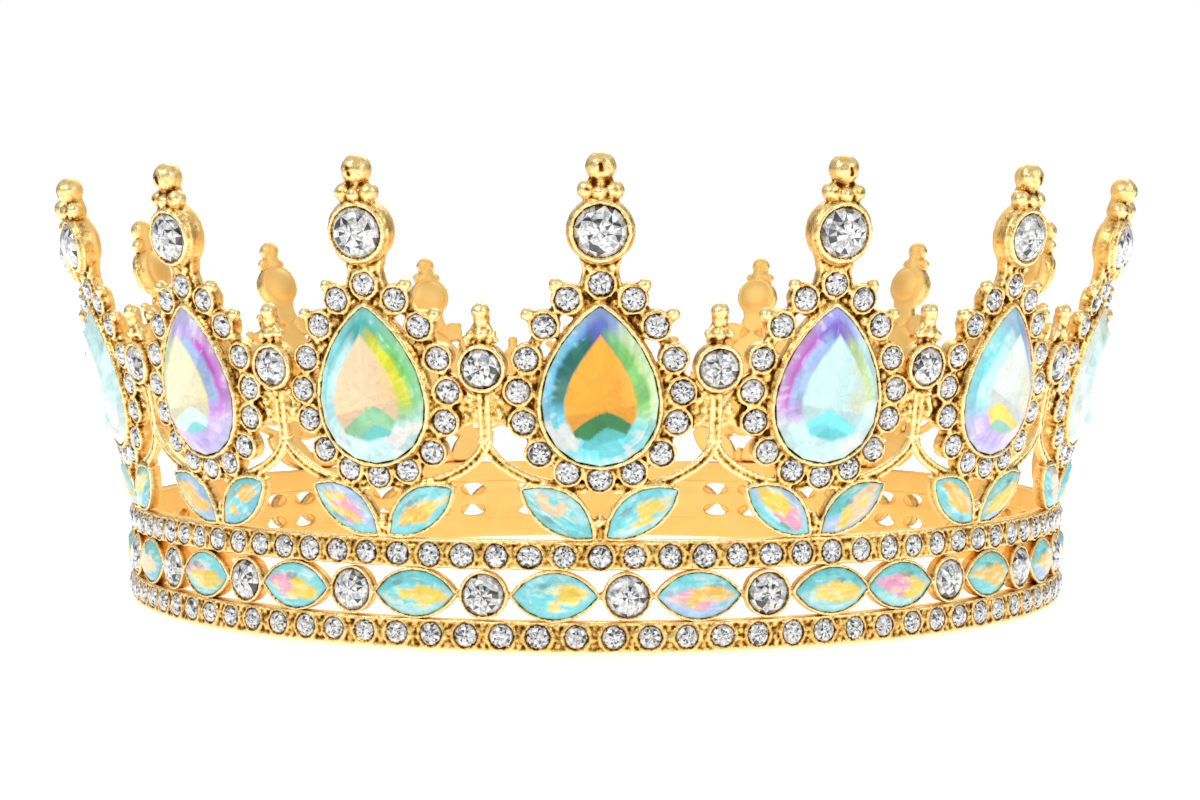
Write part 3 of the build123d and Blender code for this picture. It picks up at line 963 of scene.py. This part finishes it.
def backing_outline(half):
    """Rear plate behind one cup: its corners are cut away by quarters of the oval openings."""
    low, high = BACK_OPENING_Z
    middle, rise = (low + high) / 2, (high - low) / 2
    corner = [(half + 0.05, (UPPER_Z[0] - LOWER_Z[1]) / 2 + 0.3), (half + 0.05, high)]
    for i in range(1, 9):
        turn = math.pi * i / 9
        corner.append((half - BACK_OPENING_HALF * math.sin(turn), middle + rise * math.cos(turn)))
    corner.append((half + 0.05, low))
    right = corner + [(x, -y) for x, y in corner[::-1]]
    return right + [(-x, y) for x, y in right[::-1]]


def put_bands():
    for name, span, z, azimuths, seed in BANDS:
        heap = Heap()
        add_band(heap, span, z, azimuths, band_sizes(len(azimuths), seed), random.Random(seed))
        cast(heap, name + "_cast", name, seed, coarse=1.1, rough=0.06, soil=0.5)


def put_chain():
    almonds, rounds, step = chain_places()
    long, half = ALMOND_HALF
    heap = Heap()
    for azimuth in almonds:
        place = BasePlace(azimuth, CHAIN_Z, CHAIN_R)
        heap.add(place, *prism(almond_outline(long + 0.1, half + 0.12, 14), FLAT_BACK, 0.45))
        heap.add(place, *outline_wire(almond_outline(long - 0.05, half - 0.05, 16), 0.75, 0.26))
        # Painted shade round the stone and round the cup's foot.
        heap.seam(place, almond_outline(long - 0.25, half - 0.25, 14), 0.8, weight=STONE_SHADE)
        heap.seam(place, almond_outline(long + 0.15, half + 0.15, 14), 0.35, weight=0.35)
        for y in (-3.3, 3.3):
            heap.add(place, *ball((0.0, y, -0.1), 0.42))
        for x in (-long, long):
            heap.add(place, *ball((x, 0.0, 0.1), 0.5))
    cast(heap, "chain_almond_cast", "chain_almond_cups", 13, rough=0.05)

    heap = Heap()
    reach = CHAIN_R * math.radians(step) - long
    for azimuth in almonds + rounds:
        if math.cos(math.radians(azimuth)) < REAR:
            outline = backing_outline(long if azimuth in almonds else reach)
            heap.add(BasePlace(azimuth, CHAIN_Z, CHAIN_R), *prism(outline, 0.9 - BAND_BACK, -0.6))
    for azimuth in rounds:
        place = BasePlace(azimuth, CHAIN_Z, CHAIN_R)
        add_cup(heap, place, (0, 0), ROUND_R, 0.75, back=FLAT_BACK, lip=0.38, wire=0.26)
        for y in (-3.25, 3.25):
            heap.add(place, *tube([(0, 0, -0.2), (0, y, -0.2)], 0.5))
        for x in (-reach, reach):
            heap.add(place, *tube([(0, 0, -0.1), (x, 0, -0.1)], 0.55))
            heap.add(place, *ball((x * 0.93, 0.0, 0.1), 0.6))
    cast(heap, "chain_round_cast", "chain_round_cups", 14, rough=0.05)


def put_panels():
    for index in range(PANELS):
        heap = Heap()
        add_panel(heap, Place(PITCH * index), random.Random(100 + index))
        number = f"{index + 1:02d}"
        cast(heap, "panel_cast_" + number, "panel_" + number, 20 + index)
    heap = Heap()
    for index in range(PANELS):
        add_post(heap, Place(PITCH * (index + 0.5)), random.Random(200 + index))
    cast(heap, "posts_cast", "posts", 60)


# ---- stones


class Gems:
    """Triangles with a colour at each corner, gathered into one piece."""

    def __init__(self):
        self.points = []
        self.faces = []
        self.tints = []
        self.count = 0

    def add(self, place, points, faces, tints):
        """Facets with one colour each."""
        self.keep(place, points, np.array(faces), np.repeat(np.array(tints), 3, 0))

    def keep(self, place, points, faces, tints):
        self.points.append(place.bend(points))
        self.faces.append(faces + self.count)
        self.tints.append(tints)
        self.count += len(points)

    def add_painted(self, place, points, faces, shades, paint, parts):
        """Facets split finely, coloured by paint(points) times each facet's own shade."""
        corners = np.array(points, float)[np.array(faces)]
        steps = [(i, j) for i in range(parts + 1) for j in range(parts + 1 - i)]
        index = {step: k for k, step in enumerate(steps)}
        shares = np.array([(1 - (i + j) / parts, i / parts, j / parts) for i, j in steps])
        small = []
        for i, j in steps:
            if i + j < parts:
                small.append((index[i, j], index[i + 1, j], index[i, j + 1]))
            if i + j < parts - 1:
                small.append((index[i + 1, j], index[i + 1, j + 1], index[i, j + 1]))
        small = np.array(small)
        fine = np.einsum("sk,fkd->fsd", shares, corners)
        colours = paint(fine[:, :, :2].reshape(-1, 2)).reshape(len(corners), len(steps), 3)
        colours = np.clip(colours * np.array(shades)[:, None, None], 0, 1)
        offsets = (np.arange(len(corners)) * len(steps))[:, None, None]
        triangles = (small[None] + offsets).reshape(-1, 3)
        spots, welded = np.unique(np.round(fine.reshape(-1, 3), 4), axis=0, return_inverse=True)
        tints = colours.reshape(-1, 3)[triangles.ravel()]
        self.keep(place, spots, welded.reshape(-1)[triangles], tints)

    def piece(self, name, material):
        points = np.concatenate(self.points) * MM
        faces = np.concatenate(self.faces)
        tints = np.concatenate(self.tints)
        mesh = bpy.data.meshes.new(name)
        mesh.vertices.add(len(points))
        mesh.vertices.foreach_set("co", points.ravel())
        mesh.loops.add(faces.size)
        mesh.loops.foreach_set("vertex_index", faces.ravel().astype(np.int32))
        mesh.polygons.add(len(faces))
        mesh.polygons.foreach_set("loop_start", np.arange(len(faces), dtype=np.int32) * 3)
        mesh.update(calc_edges=True)
        layer = mesh.color_attributes.new("tint_and_glint", "FLOAT_COLOR", "CORNER")
        layer.data.foreach_set("color", np.hstack([tints, np.ones((len(tints), 1))]).ravel())
        mesh.materials.append(material)
        return add_object(name, mesh)


def clear_glint(rng):
    """Painted reflection of one facet, in grey: mostly bright, some mid, some nearly black."""
    pick = rng.random()
    if pick < 0.58:
        g = rng.uniform(0.8, 1.0)
    elif pick < 0.82:
        g = rng.uniform(0.4, 0.65)
    else:
        g = rng.uniform(0.02, 0.12)
    warm = rng.uniform(-0.04, 0.04)
    return (g * (1 + warm), g, g * (1 - warm))


def facet_gem(rings, centre_height, tint_of):
    """Stone from rings of (points, height), widest first, closed by a point at the table's middle.

    Each ring has as many points as the others. tint_of(ring, step, half) gives a facet's colour.
    """
    count = len(rings[0][0])
    points = []
    for ring, height in rings:
        points += [(x, y, height) for x, y in ring]
    middle = np.mean(np.array(rings[-1][0]), 0)
    points.append((middle[0], middle[1], centre_height))
    faces, tints = [], []
    for level in range(len(rings) - 1):
        a, b = level * count, (level + 1) * count
        for i in range(count):
            j = (i + 1) % count
            if (i + level) % 2:
                faces += [[a + i, a + j, b + i], [a + j, b + j, b + i]]
            else:
                faces += [[a + i, a + j, b + j], [a + i, b + j, b + i]]
            tints += [tint_of(level, i, 0), tint_of(level, i, 1)]
    last = (len(rings) - 1) * count
    for i in range(count):
        faces.append([last + i, last + (i + 1) % count, len(points) - 1])
        tints.append(tint_of(len(rings) - 1, i, 0))
    return points, faces, tints


def round_gem(centre, radius, seat, height, rng, count=16):
    """Round brilliant: a low girdle, three rings of facets and a table."""
    phase = rng.uniform(0, math.pi)

    def ring(share):
        return circle(centre, radius * share, count, phase)

    rings = [
        (ring(0.98), seat - 0.3),
        (ring(1.0), seat + 0.12 * height),
        (ring(0.8), seat + 0.62 * height),
        (ring(0.52), seat + height),
        (ring(0.24), seat + height),
    ]
    # Each facet's grey is a painted reflection.
    return facet_gem(rings, seat + height, lambda level, i, half: clear_glint(rng))


def mix(first, second, share):
    return tuple(a * (1 - share) + b * share for a, b in zip(first, second))


CYAN = linear((120, 222, 232))
ICE = linear((205, 240, 240))
TEAL = linear((70, 185, 180))
GREEN = linear((120, 205, 110))
FOREST = linear((44, 118, 62))
YELLOW = linear((250, 215, 90))
ORANGE = linear((252, 170, 36))
PEACH = linear((250, 212, 170))
AMBER = linear((248, 196, 90))
JADE = linear((120, 200, 175))
PINK = linear((245, 170, 200))
VIOLET = linear((140, 110, 225))
LILAC = linear((205, 185, 245))
SKY = linear((90, 185, 225))
PINE = linear((50, 110, 70))
OLIVE = linear((170, 160, 20))
PALE_LIME = linear((205, 230, 150))
MILK = linear((232, 240, 232))
INDIGO = linear((92, 108, 200))
ORCHID = linear((200, 90, 200))
PALE_BLUE = linear((160, 200, 235))
CREAM = linear((245, 236, 196))
BLUSH = linear((240, 222, 214))
LEMON = linear((226, 216, 40))
SAGE = linear((140, 195, 150))

# A pear stone's looks: point, left flank, right flank, foot, upper table, lower table,
# and the deep facets beside the table, left and right.
PEAR_LOOKS = {
    0: (INDIGO, SKY, PALE_LIME, CYAN, ORANGE, FOREST, PINE, GREEN),
    1: (VIOLET, ORCHID, ICE, ICE, ICE, CYAN, PALE_BLUE, PALE_LIME),
    2: (PALE_BLUE, CYAN, ORCHID, LILAC, MILK, YELLOW, ICE, PALE_BLUE),
    3: (MILK, MILK, MILK, MILK, MILK, ICE, ICE, MILK),
    15: (TEAL, CYAN, GREEN, ICE, PEACH, SAGE, ICE, LEMON),
    14: (LILAC, ICE, ORCHID, LILAC, CREAM, ICE, PALE_LIME, PALE_BLUE),
    13: (ICE, MILK, ICE, MILK, MILK, ICE, PALE_BLUE, ICE),
}


def pear_look(index, rng):
    """Colours of one pear stone: listed for the front ones, drawn at random elsewhere."""
    if index in PEAR_LOOKS:
        return PEAR_LOOKS[index]
    flanks = [CYAN, SKY, ORCHID, GREEN, PALE_BLUE, TEAL, PALE_LIME, ICE]
    tables = [ORANGE, YELLOW, PEACH, MILK, ICE]
    return (
        rng.choice(flanks),
        rng.choice(flanks),
        rng.choice(flanks),
        rng.choice([ICE, CYAN, LILAC]),
        rng.choice(tables),
        rng.choice([FOREST, GREEN, CYAN, TEAL, YELLOW]),
        rng.choice([PINE, SKY, JADE, ICE]),
        rng.choice([GREEN, OLIVE, CYAN, VIOLET]),
    )


# Each facet's brightness, set a little up or down at random: painted reflection.
def shade_of(rng, amount):
    return lambda level, i, half: 1.0 + rng.uniform(-amount, amount)


def step_up(value, low, high):
    """Smooth rise from 0 to 1 between two values."""
    t = np.clip((value - low) / (high - low), 0, 1)
    return (t * t * (3 - 2 * t))[:, None]


def polar(corners):
    """Closed outline round the origin as turns from +y and distances, evenly filled in."""
    corners = np.asarray(corners, float)
    shares = np.linspace(0, 1, 12, endpoint=False)[:, None]
    filled = [a * (1 - shares) + b * shares for a, b in zip(corners, np.roll(corners, -1, 0))]
    filled = np.concatenate(filled)
    turn = np.arctan2(filled[:, 0], filled[:, 1])
    order = np.argsort(turn)
    return turn[order], np.hypot(filled[:, 0], filled[:, 1])[order]


def pear_table(place):
    """Outline of a pear stone's table, about the stone's middle."""
    middle = place.flat(0.0, PEAR_MIDDLE_Z)[1]
    right = []
    for x, rise in PEAR_TABLE:
        across, up = place.flat(x, PEAR_MIDDLE_Z + rise)
        right.append((across, up - middle))
    return right + [(-x, y) for x, y in right[1:-1]][::-1]


def toward(colour, target, share):
    """Colour moved a share of the way to a target."""
    return colour + (np.asarray(target) - colour) * share


def pear_gem(place, look, rng):
    """Pear stone with a wide table and two rows of crown facets, and its painted colours."""
    size = place.size
    base = drop_outline(place, 0.02, steps=9)
    middle = np.array((0.0, place.flat(0.0, PEAR_MIDDLE_Z)[1]))

    def inner(share):
        return [tuple(middle + (np.array(p) - middle) * share) for p in base]

    table_turn, table_far = polar(pear_table(place))

    def table_reach(turn):
        return np.interp(turn, table_turn, table_far, period=2 * math.pi)

    edge_ring = []
    for spot in base:
        run = np.array(spot) - middle
        far = float(table_reach(math.atan2(run[0], run[1])))
        edge_ring.append(tuple(middle + run / np.linalg.norm(run) * far))
    rings = [
        (inner(0.99), 0.9 * size),
        (inner(1.0), 1.35 * size),
        (inner(0.84), 2.15 * size),
        (edge_ring, 2.95 * size),
        (inner(0.30), 3.0 * size),
    ]
    points, faces, shades = facet_gem(rings, 3.0 * size, shade_of(rng, 0.07))

    rim_turn, rim_far = polar(np.array(drop_outline(place, 0.02)) - middle)
    point, left, right, foot, upper, lower, dusk, dawn = [np.array(c)[None] for c in look]
    seed = rng.randrange(1000)
    sectors = rng.choice((11, 13, 15))
    # Painted reflection: each sector and row of the crown gets its own brightness.
    sector_glints = np.array([rng.uniform(-1, 1) for _ in range(sectors * 3)])
    split = rng.uniform(-0.12, 0.0)
    tilt = rng.choice((-1, 1)) * rng.uniform(0.15, 0.7)

    def paint(xy):
        x, y = (xy - middle).T
        turn = np.arctan2(x, y)
        far = np.hypot(x, y)
        share = far / np.interp(turn, rim_turn, rim_far, period=2 * math.pi)
        spot = np.stack([x, y, np.zeros_like(x)], 1)
        blur = grain(spot, 2.2 * size, seed)
        wave = grain(spot, 4.5 * size, seed + 5)
        brush = grain(np.stack([turn * 13 + share * 5, share * 4, x * 0], 1), 1.0, seed + 1)
        fleck = grain(spot, 0.45 * size, seed + 2)
        away = np.abs(turn + 0.1 * blur)
        flank = np.where((x + 0.3 * blur)[:, None] > 0, right, left)
        crown = toward(point, flank, step_up(away, 0.05, 0.5))
        crown = toward(crown, foot, step_up(away, 1.55, 2.3))
        cell = np.floor((turn / (2 * math.pi) + 0.5) * sectors + 0.35 * wave).astype(int) % sectors
        row = np.where(share > 0.86 + 0.03 * blur, 2, np.where(share > 0.74 + 0.05 * wave, 1, 0))
        lift = sector_glints[cell * 3 + row]
        inside = 1 - step_up(share + 0.05 * wave + 0.03 * brush, 0.76, 0.85)
        inside = inside * (1 - step_up(away, 1.5, 2.0)) * step_up(away, 0.0, 0.2)
        deep = np.where((x > 0)[:, None], dawn, dusk)
        crown = toward(crown, deep, 0.85 * inside)
        # Painted reflection: lighter towards the rim, sectors and streaks brighter or darker, and milky
        # flecks.
        crown = toward(crown, ICE, 0.3 * step_up(share, 0.82, 0.95))
        crown = crown * (1 + 0.17 * lift + 0.12 * brush)[:, None]
        patch = step_up(0.8 * wave + 0.4 * brush + 0.3 * lift, 0.25, 0.6) * step_up(away, 1.3, 2.0)
        crown = toward(crown, BLUSH, 0.75 * patch)
        milky_glint = step_up(0.7 * brush + 0.5 * fleck + 0.3 * lift, 0.4, 0.7) * 0.5 * step_up(share, 0.7, 0.9)
        crown = toward(crown, MILK, milky_glint)
        high = y / (size * 9.5)
        glow = step_up(x / (size * 5) - high + 0.2 * wave, -0.7, 0.7)
        table = upper * (1.03 - 0.13 * glow)
        table = toward(table, YELLOW, 0.3 * step_up(x / (size * 5) + 0.2 * blur, 0.3, 0.8))
        aside = x / (size * 4.4) - tilt
        line = high - split + 0.3 * np.abs(aside) ** 1.3 + 0.03 * wave
        depths = lower * (1 + 0.2 * step_up(blur, -0.2, 0.5))
        base_line = line + 0.24 - 0.12 * aside
        depths = toward(depths, mix(TEAL, CYAN, 0.4), 0.8 * step_up(-base_line, 0.0, 0.03))
        upper_line = high - split - 0.1 * tilt * x / size
        table = toward(table, upper * BELOW_LINE, step_up(-upper_line, 0.0, 0.012))
        table = toward(table, depths, step_up(-line, 0.0, 0.02))
        table = table * (1 + 0.03 * fleck)[:, None]
        edge = step_up(far - table_reach(turn), -0.08 * size, 0.08 * size)
        return toward(table, crown, edge)

    return points, faces, shades, paint


def almond_gem(outline, seat, height, look, rng):
    """Pointed oval stone: a rim of crown facets round a narrow table, and its colours."""
    base = [np.array(p) for p in outline]
    middle = sum(base) / len(base)
    rings = [([tuple(p) for p in base], seat - 0.3), ([tuple(p) for p in base], seat + 0.1)]
    for share, lift in ((0.66, 0.8), (0.34, 1.0)):
        rings.append(([tuple(middle + (p - middle) * share) for p in base], seat + height * lift))
    points, faces, shades = facet_gem(rings, seat + height, shade_of(rng, 0.1))

    rim, far_rim, table, spark = [np.array(c)[None] for c in look]
    run = base[len(base) // 2] - base[0]
    length = np.linalg.norm(run)
    run = run / length
    side = np.array((-run[1], run[0]))
    width = max(abs(np.dot(p - middle, side)) for p in base)
    seed = rng.randrange(1000)
    slant = rng.uniform(-0.5, 0.5)
    dark = rng.uniform(-0.5, 0.4)

    def paint(xy):
        along = (xy - middle) @ run / (length / 2)
        across = (xy - middle) @ side / width
        spot = np.stack([along * 5, across * 3, along * 0], 1)
        blur = grain(spot, 1.3, seed)
        brush = grain(np.stack([along * 3, across * 11, along * 0], 1), 1.0, seed + 1)
        fleck = grain(spot, 0.45, seed + 2)
        body = toward(far_rim, rim, step_up(across + 0.3 * blur + slant * along, -0.25, 0.25))
        body = toward(body, mix(CYAN, ICE, 0.35), 0.45)
        # Painted reflection: brighter and darker streaks, and milky streaks.
        body = body * (1 + 0.12 * brush + 0.08 * fleck)[:, None]
        body = toward(body, MILK, 0.7 * step_up(0.8 * brush + 0.4 * blur, 0.2, 0.6))
        border = step_up(np.abs(across) + along**2 + 0.15 * brush, 0.75, 1.0)
        body = toward(body, rim * 0.85, 0.4 * border)
        lengthways = along * 1.15 - 0.05 + 0.2 * blur
        sideways = across * 1.6 + 0.1 - slant * along + 0.2 * brush
        core = np.abs(lengthways) ** 1.4 + np.abs(sideways) ** 1.4
        heart = toward(table, spark, step_up(0.5 * blur - along * 0.6, -0.05, 0.15))
        heart = heart * (1 + 0.08 * brush)[:, None]
        heart = toward(heart, CREAM, 0.6 * step_up(brush - 0.6 * fleck, 0.1, 0.5))
        body = toward(body, heart, 1 - step_up(core, 0.68, 0.98))
        shadow = np.hypot(along - dark, (across - 0.48) * 1.6) + 0.1 * fleck
        return toward(body, linear((120, 150, 150)), 0.7 * (1 - step_up(shadow, 0.12, 0.24)))

    return points, faces, shades, paint


def almond_look(rng):
    """Rim, far rim, table and spark of a pointed stone."""
    rim = rng.choice([TEAL, CYAN, JADE, CYAN, TEAL])
    return (
        mix(rim, CYAN, rng.random() * 0.5),
        rng.choice([CYAN, ICE, SKY, ICE, CYAN, LILAC]),
        rng.choice([YELLOW, YELLOW, AMBER, PEACH, YELLOW]),
        rng.choice([PINK, YELLOW, CYAN, AMBER, YELLOW]),
    )


def put_stones():
    rng = random.Random(7)
    for name, _, z, azimuths, seed in BANDS:
        gems = Gems()
        for azimuth, (wide, tall, across) in zip(azimuths, band_sizes(len(azimuths), seed)):
            points, faces, tints = round_gem((0, 0), BAND_STONE_R, -0.35, 0.75, rng)
            points = [(across + x * wide, y * tall, d) for x, y, d in points]
            gems.add(BasePlace(azimuth, z, BAND_R), points, faces, tints)
        node = name + "_stones"
        stand_for(gems.piece(node + "_cut", CLEAR), "clear_crystal", node)

    almonds, rounds, _ = chain_places()
    gems = Gems()
    outline = almond_outline(ALMOND_HALF[0] - 0.25, ALMOND_HALF[1] - 0.25, 6)
    for azimuth in almonds:
        place = BasePlace(azimuth, CHAIN_Z, CHAIN_R)
        gems.add_painted(place, *almond_gem(outline, 0.7, 0.95, almond_look(rng), rng), 4)
    stand_for(gems.piece("chain_almond_cut", AURORA), "aurora_crystal", "chain_almond_stones")
    gems = Gems()
    for azimuth in rounds:
        gems.add(BasePlace(azimuth, CHAIN_Z, CHAIN_R), *round_gem((0, 0), ROUND_R, 0.65, 1.0, rng))
    stand_for(gems.piece("chain_round_cut", CLEAR), "clear_crystal", "chain_round_stones")

    halo, spire, leaf = Gems(), Gems(), Gems()
    for index in range(PANELS):
        place = Place(PITCH * index)
        size = place.size
        centres = [HALO_TOP, HALO_LOW] + HALO + [(-x, z) for x, z in HALO]
        for x, z in centres:
            halo.add(place, *round_gem(place.flat(x, z), HALO_R * size, 0.65 * size, 0.7 * size, rng))
        top = place.flat(0, SPIRE_Z)
        spire.add(place, *round_gem(top, SPIRE_R * size, 1.75 * size, 1.15 * size, rng))
        for side in (1, -1):
            outline = leaf_outline(place, side, 0.02, 6)
            leaf.add_painted(place, *almond_gem(outline, 0.55, 0.9, almond_look(rng), rng), 5)
        pear = Gems()
        pear.add_painted(place, *pear_gem(place, pear_look(index, rng), rng), 9)
        piece = pear.piece(f"pear_cut_{index + 1:02d}", AURORA)
        stand_for(piece, "aurora_crystal", f"pear_stone_{index + 1:02d}")
    stand_for(halo.piece("halo_cut", CLEAR), "clear_crystal", "halo_stones")
    stand_for(spire.piece("spire_cut", CLEAR), "clear_crystal", "spire_stones")
    stand_for(leaf.piece("leaf_cut", AURORA), "aurora_crystal", "leaf_stones")

    gems = Gems()
    for index in range(PANELS):
        place = Place(PITCH * (index + 0.5))
        size = place.size
        gems.add(place, *round_gem(place.flat(0, POST_Z), POST_R * size, 1.05, 0.95 * size, rng))
    stand_for(gems.piece("post_cut", CLEAR), "clear_crystal", "post_stones")


put_bands()
put_chain()
put_panels()
put_stones()


# ---- studio


def put_floor():
    mesh = bpy.data.meshes.new("floor")
    signs = ((-1, -1), (1, -1), (1, 1), (-1, 1))
    corners = [(x * FLOOR_HALF, y * FLOOR_HALF, FLOOR_Z) for x, y in signs]
    mesh.from_pydata(corners, [], [[0, 1, 2, 3]])
    material, tree, shader = new_material("pale_floor")
    set_values(shader, {"Base Color": (0.95, 0.95, 0.95, 1.0), "Emission Color": WHITE})
    set_values(shader, {"Roughness": 0.9, "Specular IOR Level": 0.1, "Emission Strength": 0.5})
    mesh.materials.append(material)
    add_object("floor", mesh)


def area_light(name, place, target, size, power):
    lamp = bpy.data.lights.new(name, "AREA")
    lamp.shape = "RECTANGLE"
    lamp.size, lamp.size_y = size
    lamp.energy = power
    light = add_object(name, lamp)
    light.location = place
    light.rotation_mode = "QUATERNION"
    light.rotation_quaternion = (Vector(target) - Vector(place)).to_track_quat("-Z", "Y")


def put_lights():
    area_light("key", (-0.75, -0.9, 0.9), (0, 0, 0.03), (0.7, 0.5), 4.5)
    area_light("fill", (0.9, -0.8, 0.55), (0, 0, 0.03), (0.6, 0.6), 2.5)
    area_light("back", (0.1, 0.9, 0.9), (0, 0, 0.03), (0.9, 0.5), 3.5)
    world = bpy.data.worlds.new("studio")
    bpy.context.scene.world = world
    world.use_nodes = True
    tree = world.node_tree
    tree.nodes.clear()
    out = tree.nodes.new("ShaderNodeOutputWorld")
    seen = tree.nodes.new("ShaderNodeBackground")
    set_values(seen, {"Color": WHITE, "Strength": 1.0})
    lit = tree.nodes.new("ShaderNodeBackground")
    coord = tree.nodes.new("ShaderNodeTexCoord")
    split = tree.nodes.new("ShaderNodeSeparateXYZ")
    tree.links.new(coord.outputs["Generated"], split.inputs[0])
    # Light by height: grey from below, a dark horizon and bright from above.
    stops = [
        (0.0, (0.5, 0.5, 0.5)),
        (0.47, (0.62, 0.62, 0.62)),
        (0.56, (0.34, 0.34, 0.35)),
        (0.72, (1.0, 1.0, 1.0)),
        (1.0, (1.1, 1.1, 1.1)),
    ]
    height = maths(tree, "ADD", maths(tree, "MULTIPLY", split.outputs["Z"], 0.5), 0.5)
    shade = ramp(tree, height, stops)
    tree.links.new(shade.outputs["Color"], lit.inputs["Color"])
    lit.inputs["Strength"].default_value = SKY_STRENGTH
    path = tree.nodes.new("ShaderNodeLightPath")
    both = tree.nodes.new("ShaderNodeMixShader")
    tree.links.new(path.outputs["Is Camera Ray"], both.inputs["Fac"])
    tree.links.new(lit.outputs["Background"], both.inputs[1])
    tree.links.new(seen.outputs["Background"], both.inputs[2])
    tree.links.new(both.outputs["Shader"], out.inputs["Surface"])


def put_camera():
    """Camera in front of the crown, a little above its middle, looking slightly down."""
    away = CAMERA_AWAY * BAND_R * MM
    height = CAMERA_HEIGHT * BAND_R * MM
    turn, tilt = CAMERA_TURN, CAMERA_TILT
    camera = bpy.data.cameras.new("camera")
    camera.lens = CAMERA_LENS
    camera.sensor_width = 36.0
    camera.shift_x = CAMERA_SHIFT
    camera.clip_start, camera.clip_end = 0.01, 20.0
    shot = add_object("camera", camera)
    shot.location = (math.sin(turn) * away, -math.cos(turn) * away, height)
    look = Vector((-math.sin(turn) * math.cos(tilt), math.cos(turn) * math.cos(tilt), -math.sin(tilt)))
    shot.rotation_mode = "QUATERNION"
    shot.rotation_quaternion = look.to_track_quat("-Z", "Y")
    bpy.context.scene.camera = shot


put_floor()
put_lights()
put_camera()
bpy.context.scene.view_settings.view_transform = "Standard"
